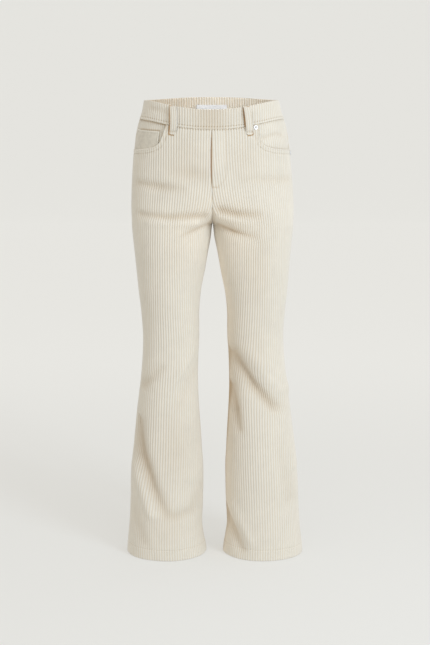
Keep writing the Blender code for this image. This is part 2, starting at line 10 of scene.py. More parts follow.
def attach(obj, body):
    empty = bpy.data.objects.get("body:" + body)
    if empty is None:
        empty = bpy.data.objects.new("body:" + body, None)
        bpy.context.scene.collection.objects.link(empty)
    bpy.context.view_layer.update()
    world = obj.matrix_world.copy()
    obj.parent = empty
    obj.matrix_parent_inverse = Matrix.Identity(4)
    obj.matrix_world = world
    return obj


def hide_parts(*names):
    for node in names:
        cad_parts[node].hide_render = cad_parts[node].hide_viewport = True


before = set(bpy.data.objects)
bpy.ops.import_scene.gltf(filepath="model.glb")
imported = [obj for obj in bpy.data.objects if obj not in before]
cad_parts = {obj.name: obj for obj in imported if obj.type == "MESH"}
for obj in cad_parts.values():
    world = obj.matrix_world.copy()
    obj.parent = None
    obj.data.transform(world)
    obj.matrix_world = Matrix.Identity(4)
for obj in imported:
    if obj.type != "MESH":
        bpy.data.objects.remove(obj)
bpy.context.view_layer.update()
print("frame loaded:", len(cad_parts), "solids")

# Metres. The front faces -Y, the wearer's right side is at -X.
front, back = -1, 1
right, left = -1, 1

cut = {
    "outseam": 1.043,
    "crotchDrop": 0.272,
    "hipDrop": 0.100,
    "hemLean": 0.007,  # the hems hang this far towards +X of the waist
    "walePitch": 0.0059,
    "waleHeight": 0.0015,
    "waleRound": 1.2,
    "wall": 0.0015,
    "bandWall": 0.0021,
    "seamGap": 0.0003,
    "layerGap": 0.0008,
    "blendDrop": 0.176,  # above this the rows of a panel follow its shaped top edge
    "bandSide": 0.0410,
    "bandFront": 0.0620,
    "bandBack": 0.0405,
    "waistDip": 0.0190,
    "waistRise": 0.0061,
    "edgePower": 4,
    "flyEnd": 0.195,
    "flyStep": 0.0024,
    "flyReach": 0.016,
    "flyGap": 0.0030,
    "flyFade": 0.030,
    "foldFade": 0.020,
}


def readTable(names, rows):
    return dict(zip(names, np.array(rows).T))


# One leg's outline at each height, measured from the centre plane.
leg = readTable(("drop", "outer", "inner", "front", "back", "grain", "square"), (
    (0.000, 0.1480, -0.1480, 0.0980, 0.1040, 0.0800, 2.30),
    (0.022, 0.1530, -0.1530, 0.0990, 0.1080, 0.0810, 2.30),
    (0.045, 0.1605, -0.1605, 0.1000, 0.1125, 0.0830, 2.30),
    (0.070, 0.1670, -0.1670, 0.1005, 0.1170, 0.0850, 2.30),
    (0.105, 0.1720, -0.1720, 0.1005, 0.1240, 0.0860, 2.30),
    (0.140, 0.1750, -0.1750, 0.1000, 0.1300, 0.0870, 2.30),
    (0.190, 0.1793, -0.1500, 0.0990, 0.1340, 0.0880, 2.30),
    (0.215, 0.1805, -0.1000, 0.0980, 0.1320, 0.0885, 2.30),
    (0.235, 0.1811, -0.0550, 0.0965, 0.1280, 0.0890, 2.30),
    (0.252, 0.1808, -0.0220, 0.0955, 0.1230, 0.0895, 2.28),
    (0.264, 0.1804, -0.0060, 0.0945, 0.1180, 0.0900, 2.25),
    (0.272, 0.1804, 0.0000, 0.0940, 0.1150, 0.0900, 2.25),
    (0.285, 0.1800, 0.0034, 0.0930, 0.1100, 0.0905, 2.20),
    (0.300, 0.1788, 0.0050, 0.0920, 0.1060, 0.0910, 2.20),
    (0.320, 0.1770, 0.0085, 0.0905, 0.1010, 0.0920, 2.20),
    (0.340, 0.1750, 0.0125, 0.0880, 0.0965, 0.0925, 2.18),
    (0.380, 0.1714, 0.0193, 0.0835, 0.0885, 0.0940, 2.15),
    (0.425, 0.1675, 0.0282, 0.0780, 0.0815, 0.0950, 2.12),
    (0.475, 0.1620, 0.0331, 0.0720, 0.0745, 0.0965, 2.10),
    (0.530, 0.1591, 0.0333, 0.0665, 0.0670, 0.0965, 2.10),
    (0.570, 0.1607, 0.0356, 0.0650, 0.0645, 0.0975, 2.10),
    (0.635, 0.1668, 0.0369, 0.0660, 0.0640, 0.1010, 2.10),
    (0.710, 0.1768, 0.0346, 0.0695, 0.0675, 0.1050, 2.10),
    (0.780, 0.1845, 0.0302, 0.0735, 0.0720, 0.1070, 2.08),
    (0.850, 0.1922, 0.0268, 0.0770, 0.0765, 0.1090, 2.05),
    (0.925, 0.1954, 0.0280, 0.0795, 0.0795, 0.1110, 2.05),
    (0.975, 0.1985, 0.0300, 0.0810, 0.0810, 0.1125, 2.05),
    (1.010, 0.2022, 0.0255, 0.0820, 0.0820, 0.1130, 2.05),
    (1.043, 0.2045, 0.0200, 0.0830, 0.0830, 0.1125, 2.05),
))

# The scooped hip pocket's edge, by its reach in from the side seam.
scoop = readTable(("reach", "drop"), (
    (0.0000, 0.1080), (0.0315, 0.1072), (0.0600, 0.1054), (0.0830, 0.1020), (0.0990, 0.0960),
    (0.1084, 0.0865), (0.1133, 0.0745), (0.1208, 0.0530), (0.1260, 0.0380),
))
scoopWider = {right: 0.000, left: 0.006}
scoopCorner = 0.1208
scoopTurn = 0.1084  # the reach past which the scoop runs up to the waistband
scoopSteeper = {right: 1.0, left: 1.9}

# Worn folds: side, face, width, then the path as x, drop and height. Below nought is a trough.
folds = (
    # right side of the front: hip, seat, crotch, knee, shin and hem
    (right, front, 0.010, ((0.161, 0.181, -0.0050), (0.114, 0.187, -0.0070), (0.066, 0.192, -0.0020))),
    (right, front, 0.016, ((0.087, 0.154, -0.0020), (0.050, 0.158, -0.0045), (0.013, 0.162, -0.0030))),
    (right, front, 0.009, ((0.158, 0.248, -0.0050), (0.093, 0.254, -0.0070), (0.014, 0.250, -0.0060))),
    (right, front, 0.009, ((0.137, 0.263, 0.0025), (0.038, 0.267, 0.0045))),
    (right, front, 0.007, ((0.005, 0.269, -0.0045), (0.035, 0.280, -0.0050), (0.069, 0.294, -0.0015))),
    (right, front, 0.012, ((0.160, 0.638, -0.0055), (0.118, 0.597, -0.0025))),
    (right, front, 0.010, ((0.039, 0.554, 0.0020), (0.070, 0.602, 0.0050), (0.103, 0.650, 0.0020))),
    (right, front, 0.015, ((0.035, 0.581, -0.0010), (0.076, 0.680, -0.0020))),
    (right, front, 0.015, (
        (0.176, 0.724, -0.0095), (0.166, 0.798, -0.0135),
        (0.142, 0.870, -0.0105), (0.111, 0.933, -0.0060),
    )),
    (right, front, 0.012, ((0.090, 0.940, -0.0040), (0.051, 0.928, -0.0040), (0.035, 0.877, -0.0015))),
    (right, front, 0.014, ((0.193, 0.912, -0.0020), (0.164, 1.002, -0.0035))),
    (right, front, 0.010, ((0.185, 0.830, 0.0020), (0.147, 0.936, 0.0050))),
    # left side of the front, in the same order
    (left, front, 0.010, ((0.105, 0.082, -0.0020), (0.155, 0.074, -0.0030))),
    (left, front, 0.010, ((0.061, 0.169, -0.0015), (0.165, 0.173, -0.0035))),
    (left, front, 0.010, ((0.008, 0.237, -0.0085), (0.052, 0.245, -0.0090), (0.100, 0.248, -0.0040))),
    (left, front, 0.008, ((0.015, 0.254, 0.0045), (0.082, 0.265, 0.0020))),
    (left, front, 0.009, ((0.010, 0.272, -0.0060), (0.043, 0.284, -0.0080), (0.098, 0.296, -0.0015))),
    (left, front, 0.015, (
        (0.044, 0.565, -0.0080), (0.085, 0.630, -0.0130),
        (0.130, 0.680, -0.0085), (0.159, 0.696, -0.0010),
    )),
    (left, front, 0.016, ((0.082, 0.558, 0.0030), (0.132, 0.623, 0.0060), (0.168, 0.650, 0.0040))),
    (left, front, 0.008, ((0.123, 0.607, -0.0020), (0.154, 0.637, -0.0035))),
    (left, front, 0.010, ((0.039, 0.641, -0.0060), (0.050, 0.692, -0.0100), (0.057, 0.738, -0.0050))),
    (left, front, 0.011, ((0.022, 0.931, -0.0055), (0.041, 0.976, -0.0090), (0.061, 1.018, -0.0050))),
    (left, front, 0.010, ((0.040, 0.919, 0.0020), (0.081, 0.995, 0.0040))),
    (left, front, 0.010, ((0.157, 0.710, 0.0020), (0.182, 0.830, 0.0045))),
    (left, front, 0.015, ((0.152, 0.761, -0.0010), (0.172, 0.900, -0.0028))),
    # right side of the back: seat, under the seat, behind the knee and down the flare
    (right, back, 0.012, ((0.150, 0.200, -0.0010), (0.070, 0.225, -0.0035), (0.020, 0.252, -0.0030))),
    (right, back, 0.015, ((0.030, 0.250, 0.0015), (0.100, 0.264, 0.0030))),
    (right, back, 0.013, ((0.015, 0.285, -0.0040), (0.060, 0.296, -0.0055), (0.150, 0.282, -0.0025))),
    (right, back, 0.012, ((0.045, 0.515, -0.0030), (0.100, 0.535, -0.0065), (0.155, 0.540, -0.0030))),
    (right, back, 0.012, ((0.150, 0.575, -0.0030), (0.100, 0.592, -0.0055), (0.050, 0.615, -0.0025))),
    (right, back, 0.014, ((0.080, 0.700, -0.0025), (0.085, 0.800, -0.0060), (0.060, 0.930, -0.0030))),
    (right, back, 0.014, ((0.160, 0.780, -0.0015), (0.150, 0.900, -0.0045), (0.125, 0.990, -0.0030))),
    # left side of the back, in the same order
    (left, back, 0.012, ((0.145, 0.212, -0.0015), (0.080, 0.232, -0.0035), (0.022, 0.250, -0.0025))),
    (left, back, 0.015, ((0.030, 0.248, 0.0015), (0.105, 0.266, 0.0030))),
    (left, back, 0.013, ((0.015, 0.284, -0.0045), (0.065, 0.294, -0.0055), (0.155, 0.278, -0.0020))),
    (left, back, 0.012, ((0.150, 0.512, -0.0030), (0.095, 0.536, -0.0065), (0.045, 0.548, -0.0030))),
    (left, back, 0.012, ((0.055, 0.585, -0.0025), (0.105, 0.605, -0.0055), (0.155, 0.622, -0.0025))),
    (left, back, 0.014, ((0.140, 0.710, -0.0030), (0.150, 0.820, -0.0060), (0.168, 0.930, -0.0025))),
    (left, back, 0.014, ((0.070, 0.760, -0.0015), (0.080, 0.880, -0.0045), (0.105, 0.985, -0.0030))),
)


# where the cloth lies

def unit(value):
    return np.clip(value, 0, 1)


# 1 from one place to another, dying away to 0 over a distance of its own at each end.
def between(at, start, startOver, end, endOver):
    return unit((at - start) / startOver) * unit((end - at) / endOver)


def eased(share):
    return share * share * (3 - 2 * share)


def bell(distance, width, power=2):
    return np.exp(-((distance / width) ** power))


# A smooth curve through one column of a table, against its first column.
def smoothColumn(table, name, at):
    places, values = table[next(iter(table))], table[name]
    slopes = np.gradient(values, places)
    chords = np.diff(values) / np.diff(places)
    slopes[1:-1][chords[:-1] * chords[1:] <= 0] = 0.0  # no overshoot at a peak
    at = np.clip(at, places[0], places[-1])
    low = np.clip(np.searchsorted(places, at) - 1, 0, len(places) - 2)
    span = places[low + 1] - places[low]
    t = (at - places[low]) / span
    return (
        (2 * t**3 - 3 * t**2 + 1) * values[low]
        + (t**3 - 2 * t**2 + t) * span * slopes[low]
        + (3 * t**2 - 2 * t**3) * values[low + 1]
        + (t**3 - t**2) * span * slopes[low + 1]
    )


ringTable = {"dropStep": 0.0015, "step": 0.0005, "reach": 0.24, "samples": 260, "overrun": 0.5}


# Every section of one face, laid out by the distance round from the grain.
def buildRings(face):
    drops = np.arange(0.0, cut["outseam"] + 2 * ringTable["dropStep"], ringTable["dropStep"])
    across = np.arange(-ringTable["reach"], ringTable["reach"], ringTable["step"])
    names = ("outer", "inner", "front" if face == front else "back", "grain", "square")
    angles = np.linspace(math.pi + ringTable["overrun"], -ringTable["overrun"], ringTable["samples"])
    cosines, sines = np.cos(angles), np.sin(angles)
    made = {"x": [], "y": [], "centre": [], "side": [], "depth": [], "drops": drops}
    for outer, inner, depth, grain, square in zip(*(smoothColumn(leg, name, drops) for name in names)):
        middle, half = (outer + inner) / 2, (outer - inner) / 2
        xs = middle + half * np.sign(cosines) * np.abs(cosines) ** (2 / square)
        ys = face * depth * np.sign(sines) * np.abs(sines) ** (2 / square)
        lengths = np.concatenate([[0.0], np.cumsum(np.hypot(np.diff(xs), np.diff(ys)))])
        share = min(max(middle / half, 0.0), 1.0)
        centreAngle = math.acos(-(share ** (square / 2)))
        grainCosine = (grain - middle) / half
        grainAngle = math.acos(math.copysign(abs(grainCosine) ** (square / 2), grainCosine))
        origin = np.interp(-grainAngle, -angles, lengths)
        made["x"].append(np.interp(across, lengths - origin, xs))
        made["y"].append(np.interp(across, lengths - origin, ys))
        made["centre"].append(np.interp(-centreAngle, -angles, lengths) - origin)
        made["side"].append(np.interp(0.0, -angles, lengths) - origin)
        made["depth"].append(depth)
    return {name: np.array(values) for name, values in made.items()}


rings = {face: buildRings(face) for face in (front, back)}
probe = 0.0015  # how far to each side a slope is measured
settle = 6  # rounds that bring a seam and a row's drop to agree
settleGrain = 8  # rounds that bring a place and the wales' slant at it to agree


def onRing(face, s, drop):
    ring = rings[face]
    s, drop = np.broadcast_arrays(np.asarray(s, float), np.asarray(drop, float))
    places = drop / ringTable["dropStep"], (s + ringTable["reach"]) / ringTable["step"]
    i, j = (np.clip(place, 0, count - 1.001) for place, count in zip(places, ring["x"].shape))
    i0, j0 = i.astype(int), j.astype(int)
    ti, tj = i - i0, j - j0
    return [
        (1 - ti) * ((1 - tj) * g[i0, j0] + tj * g[i0, j0 + 1])
        + ti * ((1 - tj) * g[i0 + 1, j0] + tj * g[i0 + 1, j0 + 1])
        for g in (ring["x"], ring["y"])
    ]


def seamAt(face, which, drop):
    return np.interp(drop, rings[face]["drops"], rings[face][which])


def foldHeight(side, face, x, drop, narrowed=1.0):
    total = np.zeros(np.broadcast(x, drop).shape)
    for foldSide, foldFace, width, path in folds:
        if (foldSide, foldFace) != (side, face):
            continue
        nearest, height = np.full(total.shape, 9.0), np.zeros(total.shape)
        for (x0, drop0, height0), (x1, drop1, height1) in zip(path[:-1], path[1:]):
            ax, ad = x1 - x0, drop1 - drop0
            t = unit(((x - x0) * ax + (drop - drop0) * ad) / (ax * ax + ad * ad))
            away = np.hypot(x - x0 - ax * t, drop - drop0 - ad * t)
            closer = away < nearest
            nearest = np.where(closer, away, nearest)
            height = np.where(closer, height0 + (height1 - height0) * t, height)
        total += height * bell(nearest, width * narrowed)
    return total


# Folds die away towards the seams, so the edges sewn there meet.
def seamFade(face, s, drop):
    nearSeam = np.minimum(s - seamAt(face, "centre", drop), seamAt(face, "side", drop) - s)
    return eased(unit(nearSeam / cut["foldFade"]))


# Where cloth buckles over a sharp crease its wales slide sideways: side, reach, slide, both ends.
drifts = (
    (left, 0.019, 0.0036, (0.044, 0.565), (0.150, 0.690)),
    (right, 0.016, 0.0016, (0.176, 0.724), (0.111, 0.933)),
    (left, 0.010, 0.0018, (0.010, 0.272), (0.109, 0.303)),
)
driftFade = 0.15  # a slide grows from this share of its length outside each end to as much inside it


def waleDrift(side, face, s, drop):
    total = np.zeros(np.broadcast(s, drop).shape)
    if face == back:
        return total
    x = onRing(face, s, drop)[0]
    for driftSide, reach, slide, first, last in drifts:
        if driftSide != side:
            continue
        along = np.array([side * (last[0] - first[0]), first[1] - last[1]])
        length = math.hypot(*along)
        across = np.array([-along[1], along[0]]) / length
        across = across * np.sign(across.sum())
        fromFirst = side * (x - first[0]), first[1] - drop
        place = (fromFirst[0] * along[0] + fromFirst[1] * along[1]) / length**2
        away = (fromFirst[0] * across[0] + fromFirst[1] * across[1]) / reach
        inFromEnd = np.minimum(place, 1 - place)
        total += slide * away * np.exp(0.5 - away**2 / 2) * unit((inFromEnd + driftFade) / (2 * driftFade))
    return -side * total * seamFade(face, s, drop)


# The grain runs outwards on the way down to the crotch: where it starts, slide, width and power.
slants = {
    (right, front): (0.160, 0.016, 0.100, 1.8),
    (left, front): (0.100, 0.024, 0.110, 2.2),
    (right, back): (0.050, 0.022, 0.130, 1.5),
    (left, back): (0.050, 0.022, 0.130, 1.5),
}
slantFade = 0.35  # it straightens again over this much of the leg


# How far the grain has slid outwards, so s less this counts the wales.
def waleSlant(side, face, s, drop):
    start, slide, width, power = slants[side, face]
    down = unit((drop - start) / (cut["crotchDrop"] - start)) ** power
    past = unit((drop - cut["crotchDrop"]) / slantFade)
    return slide * down * (1 - eased(past)) * bell(onRing(face, s, drop)[0], width)


def flyLap(x, drop):
    fromBand = (drop - cut["bandFront"]) / cut["flyFade"]
    fromEnd = (cut["flyEnd"] - drop) / cut["flyFade"] + 1 / 3  # it dies away a little below its end
    return cut["flyStep"] * unit(np.minimum(fromBand, fromEnd)) * np.exp(-x / cut["flyReach"])


def clothAt(side, face, s, drop):
    x, y = onRing(face, s, drop)
    (xa, ya), (xb, yb) = onRing(face, s + probe, drop), onRing(face, s - probe, drop)
    dx, dy = xa - xb, ya - yb
    length = np.hypot(dx, dy)
    height = foldHeight(side, face, np.maximum(x, 0), drop) * seamFade(face, s, drop)
    if (side, face) == (left, front):
        height = height + flyLap(np.maximum(x, 0), drop)
    raisedX, raisedY = x - face * dy / length * height, y + face * dx / length * height
    return np.stack([raisedX, raisedY, -drop + 0 * x], axis=-1)


# Points of the cloth moved out along its normal, in place on the part.
def lifted(side, face, s, drop, lift, flatX=None, flatY=None, clamp=True):
    s, drop, lift = np.broadcast_arrays(*(np.asarray(v, float) for v in (s, drop, lift)))
    along = clothAt(side, face, s + probe, drop) - clothAt(side, face, s - probe, drop)
    up = clothAt(side, face, s, drop - 2 * probe) - clothAt(side, face, s, drop + 2 * probe)
    normal = np.cross(along, up) * -face
    if flatX is not None:
        normal[flatX, 0] = 0.0
    if flatY is not None:
        normal[flatY, 1] = 0.0
    normal /= np.linalg.norm(normal, axis=-1, keepdims=True)
    point = clothAt(side, face, s, drop) + normal * lift[..., None]
    if clamp:
        point[..., 0] = np.maximum(point[..., 0], cut["seamGap"] / 2)
    point[..., 0] = side * point[..., 0] + cut["hemLean"] * drop / cut["outseam"]
    return point


# Points placed by their signed distance round from the centre line.
def fromCentre(face, arc, drop, lift):
    arc, drop, lift = np.broadcast_arrays(*(np.asarray(v, float) for v in (arc, drop, lift)))
    s = seamAt(face, "centre", drop) + np.abs(arc)
    mirrored = [lifted(side, face, s, drop, lift, clamp=False) for side in (left, right)]
    return np.where((arc >= 0)[..., None], mirrored[0], mirrored[1])


def edgeDrop(face, s, atSide, atMiddle):
    drop = np.full(np.shape(s), float(atSide))
    for _ in range(4):
        y = onRing(face, s, drop)[1]
        drop = atSide + (atMiddle - atSide) * (y / seamAt(face, "depth", drop)) ** cut["edgePower"]
    return drop


def bandTop(face, s):
    return edgeDrop(face, s, 0.0, cut["waistDip"] if face == front else -cut["waistRise"])


def bandSeam(face, s):
    return edgeDrop(face, s, cut["bandSide"], cut["bandFront"] if face == front else cut["bandBack"])


def scoopDrop(side, s):
    reach = seamAt(front, "side", cut["hipDrop"]) - s - scoopWider[side]
    reach = reach + (scoopSteeper[side] - 1) * np.maximum(reach - scoopTurn, 0)
    return smoothColumn(scoop, "drop", reach)


# Points along the scooped edge, by the reach in its table.
def scoopLine(side, reach):
    drop = smoothColumn(scoop, "drop", reach)
    reach = reach - (1 - 1 / scoopSteeper[side]) * np.maximum(reach - scoopTurn, 0)
    return seamAt(front, "side", cut["hipDrop"]) - reach - scoopWider[side], drop


# Distance to the scooped pocket edge, measured on the flat cloth, and far below it simply far.
def scoopDistance(side, s, drop):
    lineS, lineDrop = scoopLine(side, np.linspace(-scoopWider[side], scoopCorner + 0.004, 200))
    distance = np.full(s.shape, 1.0)
    close = (drop < 0.145) & (s > lineS[0] - 0.165)
    gaps = np.hypot(s[close][:, None] - lineS[None, :], drop[close][:, None] - lineDrop[None, :])
    distance[close] = gaps.min(axis=1)
    return distance


def panelTop(side, face, s):
    top = bandSeam(face, s) + cut["seamGap"]
    return np.maximum(top, scoopDrop(side, s)) if face == front else top


# 0 in the groove and 1 on the rounded crest.
def waleShape(wales):
    fromGroove = 1 - 2 * np.abs(np.mod(wales + 0.5, 1.0) - 0.5)
    return (1 - (1 - fromGroove) ** 2) ** cut["waleRound"]


slowWaves = {  # across, down, turn and height of each wave
    (right, front): ((0.17, 0.31, 0.4, 0.0006), (0.09, -0.21, 2.1, 0.0004), (0.31, 0.12, 4.0, 0.0004)),
    (left, front): ((-0.15, 0.27, 1.4, 0.0006), (0.11, 0.19, 0.3, 0.0004), (0.27, -0.13, 5.0, 0.0004)),
    (right, back): ((0.14, 0.33, 3.4, 0.0008), (-0.10, 0.18, 1.1, 0.0005), (0.33, 0.14, 2.0, 0.0005)),
    (left, back): ((-0.16, 0.29, 0.9, 0.0008), (0.12, 0.22, 4.1, 0.0005), (0.29, -0.15, 3.0, 0.0005)),
}


# Slow unevenness of worn cloth, none at the seams.
def ripple(side, face, s, drop):
    total = sum(
        height * np.sin(2 * math.pi * (s / across + drop / down) + turn)
        for across, down, turn, height in slowWaves[side, face]
    )
    return total * seamFade(face, s, drop)


# turning rows of points into closed cloth

endRoom = 0.35  # no column comes closer to a row's end than this share of a step


# Columns keep to the grain and run off at both ends of each row.
def wovenGrid(starts, ends, step):
    columns = np.arange(math.floor(starts.min() / step) - 1, math.ceil(ends.max() / step) + 2) * step
    before = columns[None, :] < starts[:, None] + endRoom * step
    after = columns[None, :] > ends[:, None] - endRoom * step
    s = np.where(before, starts[:, None], np.where(after, ends[:, None], columns[None, :]))
    skipped = before.sum(axis=1)[:, None] - 1
    inside = (~before & ~after).sum(axis=1)[:, None]
    place = np.arange(len(columns))[None, :]
    base = np.concatenate([[0], np.cumsum(inside[:, 0] + 2)])
    kept = (place >= skipped) & (place <= skipped + inside + 1)
    return {
        "index": np.clip(place - skipped, 0, inside + 1) + base[:-1, None],
        "base": base,
        "s": s[kept],
        "row": np.nonzero(kept)[0],
        "isStart": np.broadcast_to(place == skipped, kept.shape)[kept],
        "isEnd": np.broadcast_to(place == skipped + inside + 1, kept.shape)[kept],
    }


def gridFaces(index, flip):
    a, b, c, d = index[:-1, :-1], index[:-1, 1:], index[1:, 1:], index[1:, :-1]
    faces = []
    for keep, corners in (
        ((a != b) & (c != d), (a, b, c, d)),
        ((a == b) & (c != d), (a, c, d)),
        ((a != b) & (c == d), (a, b, c)),
    ):
        rows = np.stack([corner[keep] for corner in corners], axis=-1)
        faces += (rows[:, ::-1] if flip else rows).tolist()
    return faces


# Triangles between two lines of (place, vertex), each in order.
def zipped(lower, upper, flip):
    faces = []
    i = j = 0
    while i < len(lower) - 1 or j < len(upper) - 1:
        if j >= len(upper) - 1 or (i < len(lower) - 1 and lower[i + 1][0] <= upper[j + 1][0]):
            faces.append((lower[i][1], lower[i + 1][1], upper[j][1]))
            i += 1
        else:
            faces.append((lower[i][1], upper[j + 1][1], upper[j][1]))
            j += 1
    return [face[::-1] for face in faces] if flip else faces


def newPiece(name, points, faces, weave=None, insideFaces=(), materials=()):
    mesh = bpy.data.meshes.new(name)
    mesh.from_pydata(points.tolist(), [], faces)
    if weave is not None:
        mesh.attributes.new("weave", "FLOAT_VECTOR", "POINT").data.foreach_set(
            "vector", np.ascontiguousarray(weave, np.float32).ravel()
        )
    for material in materials:
        mesh.materials.append(material)
    if insideFaces:
        slots = np.zeros(len(faces), np.int32)
        slots[insideFaces[0]:insideFaces[1]] = 1
        mesh.polygons.foreach_set("material_index", slots)
    mesh.polygons.foreach_set("use_smooth", np.ones(len(faces), bool))
    piece = bpy.data.objects.new(name, mesh)
    bpy.context.scene.collection.objects.link(piece)
    shell = bmesh.new()
    shell.from_mesh(mesh)
    bmesh.ops.recalc_face_normals(shell, faces=shell.faces)
    if shell.calc_volume(signed=True) < 0:
        bmesh.ops.reverse_faces(shell, faces=shell.faces)
    shell.to_mesh(mesh)
    shell.free()
    return piece


# The outside and the inside of a woven sheet, joined round all four edges.
def closedCloth(name, outer, outerPoints, outerWeave, inner, innerPoints, innerWeave, flip):
    count = len(outerPoints)
    faces = gridFaces(outer["index"], flip)
    insideStart = len(faces)
    faces += gridFaces(inner["index"] + count, not flip)
    insideEnd = len(faces)
    last = len(outer["base"]) - 2
    for row in range(last):
        for outerEnds, innerEnds, turn in (
            (outer["base"][row:row + 2], inner["base"][row:row + 2] + count, flip),
            (outer["base"][row + 1:row + 3] - 1, inner["base"][row + 1:row + 3] - 1 + count, not flip),
        ):
            quad = (int(outerEnds[0]), int(outerEnds[1]), int(innerEnds[1]), int(innerEnds[0]))
            faces.append(quad[::-1] if turn else quad)
    for row, turn in ((0, not flip), (last, flip)):
        lines = []
        for grid, offset in ((outer, 0), (inner, count)):
            span = range(int(grid["base"][row]), int(grid["base"][row + 1]))
            lines.append([(grid["s"][vertex], vertex + offset) for vertex in span])
        faces += zipped(*lines, turn)
    points, weave = np.concatenate([outerPoints, innerPoints]), np.concatenate([outerWeave, innerWeave])
    return newPiece(name, points, faces, weave, (insideStart, insideEnd), (corduroy, reverse))


# A small closed sheet from two matching grids of points.
def closedSheet(name, outer, inner, weave, material, flip):
    rows, columns = outer.shape[:2]
    count = rows * columns
    index = np.arange(count).reshape(rows, columns)
    faces = gridFaces(index, flip) + gridFaces(index + count, not flip)
    rim = np.concatenate([index[0, :], index[1:, -1], index[-1, -2::-1], index[-2:0:-1, 0]])
    following = np.roll(rim, -1)
    faces += np.stack([rim, following, following + count, rim + count], axis=-1).tolist()
    points = np.concatenate([outer.reshape(-1, 3), inner.reshape(-1, 3)])
    return newPiece(name, points, faces, np.concatenate([weave.reshape(-1, 3)] * 2), (), (material,))


def weaveOf(wales, drop, shade):
    return np.stack(np.broadcast_arrays(wales, drop, shade), axis=-1)


def sharpenEdges(piece, degrees):
    bpy.ops.object.select_all(action="DESELECT")
    piece.select_set(True)
    bpy.context.view_layer.objects.active = piece
    bpy.ops.object.shade_smooth_by_angle(angle=math.radians(degrees))


def finishPiece(piece, replaced=()):
    if replaced:
        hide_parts(*replaced)
    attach(piece, "root")


def finishCloth(piece, sharpest=78):
    sharpenEdges(piece, sharpest)
    finishPiece(piece, (piece.name.replace("_cloth", ""),))
    return piece


# In edit mode, selects the verts, edges or faces that pass a test and nothing else.
def pick(piece, kind, test):
    bpy.ops.mesh.select_mode(type=kind[:-1].upper())
    bpy.ops.mesh.select_all(action="DESELECT")
    shape = bmesh.from_edit_mesh(piece.data)
    for part in getattr(shape, kind):
        part.select = test(part)
    bmesh.update_edit_mesh(piece.data)


# materials

class Wire:
    def __init__(self, net, socket):
        self.net, self.socket = net, socket

    def maths(self, operation, *others, flipped=False):
        values = (self, *others)
        if flipped:
            values = values[::-1]
        return self.net.add("ShaderNodeMath", {"operation": operation}, dict(enumerate(values)))

    def __add__(self, other):
        return self.maths("ADD", other)

    def __sub__(self, other):
        return self.maths("SUBTRACT", other)

    def __mul__(self, other):
        return self.maths("MULTIPLY", other)

    def __rsub__(self, other):
        return self.maths("SUBTRACT", other, flipped=True)

    __radd__ = __add__
    __rmul__ = __mul__

    def fraction(self):
        return self.maths("FRACT")

    def size(self):
        return self.maths("ABSOLUTE")

    def sine(self):
        return self.maths("SINE")

    def clipped(self, low, high):
        sockets = {"Value": self, "From Min": low, "From Max": high}
        return self.net.add("ShaderNodeMapRange", {"interpolation_type": "SMOOTHSTEP"}, sockets)


class Net:
    def __init__(self, name, **fixed):
        self.material = bpy.data.materials.new(name)
        self.material.use_nodes = True
        self.tree = self.material.node_tree
        self.shader = self.tree.nodes["Principled BSDF"]
        for socket, value in fixed.items():
            self.shader.inputs[socket.replace("_", " ")].default_value = value

    def add(self, kind, settings, sockets, output=0):
        node = self.tree.nodes.new(kind)
        for key, value in settings.items():
            setattr(node, key, value)
        for key, value in sockets.items():
            if isinstance(value, Wire):
                self.tree.links.new(value.socket, node.inputs[key])
            else:
                node.inputs[key].default_value = value
        return Wire(self, node.outputs[output])

    def split(self, vector):
        node = self.add("ShaderNodeSeparateXYZ", {}, {0: vector}).socket.node
        return [Wire(self, socket) for socket in node.outputs]

    def weave(self):  # wales across, drop, and painted shade or a bound edge painted lighter
        return self.split(self.add("ShaderNodeAttribute", {"attribute_name": "weave"}, {}, "Vector"))

    def place(self):
        return self.add("ShaderNodeTexCoord", {}, {}, "Object")

    def noise(self, where, scale, detail=2.0):
        return self.add("ShaderNodeTexNoise", {}, {"Vector": where, "Scale": scale, "Detail": detail})

    def blend(self, factor, first, second, kind="MIX"):
        settings = {"data_type": "RGBA", "blend_type": kind}
        return self.add("ShaderNodeMix", settings, {0: factor, 6: first, 7: second}, output=2)

    def shaded(self, colour, factor):  # lighter or darker by a value near 1
        return self.add("ShaderNodeVectorMath", {"operation": "SCALE"}, {0: colour, "Scale": factor})

    def bump(self, height, distance, strength):
        return self.add("ShaderNodeBump", {}, {"Height": height, "Distance": distance, "Strength": strength})

    def feed(self, **sockets):
        for name, wire in sockets.items():
            self.tree.links.new(wire.socket, self.shader.inputs[name.replace("_", " ")])


def opaque(colour):
    return (*colour, 1.0)


corduroyLook = {
    # The groove is darker partly for the bare ground weave's own tone and partly as painted shade in the
    # groove.
    "crest": (0.757, 0.728, 0.660),
    "groove": (0.700, 0.628, 0.508),
    "hollow": (0.600, 0.460, 0.300),  # painted shade: multiplies the colour deep in folds and stitch holes
    "gap": (0.780, 0.520, 0.310),  # and a warmer painted shade in the gaps under the belt loops, where light only comes in through the cloth
    "crestFrom": (0.25, 0.98),
    "napUneven": (55.0, 0.10),  # noise scale and strength
    "napSlow": (13.0, 0.10),
    "napFine": (1300.0, 0.16),
    "tuftLength": 0.0011,
    "tuftStray": 5.0,
    "tuftShare": 0.3,  # of the bump, the rest is fine fuzz
    "bump": (0.00035, 0.55),
    "roughness": 0.92,
    "sheen": 0.35,
    "sheenRoughness": 0.55,
}


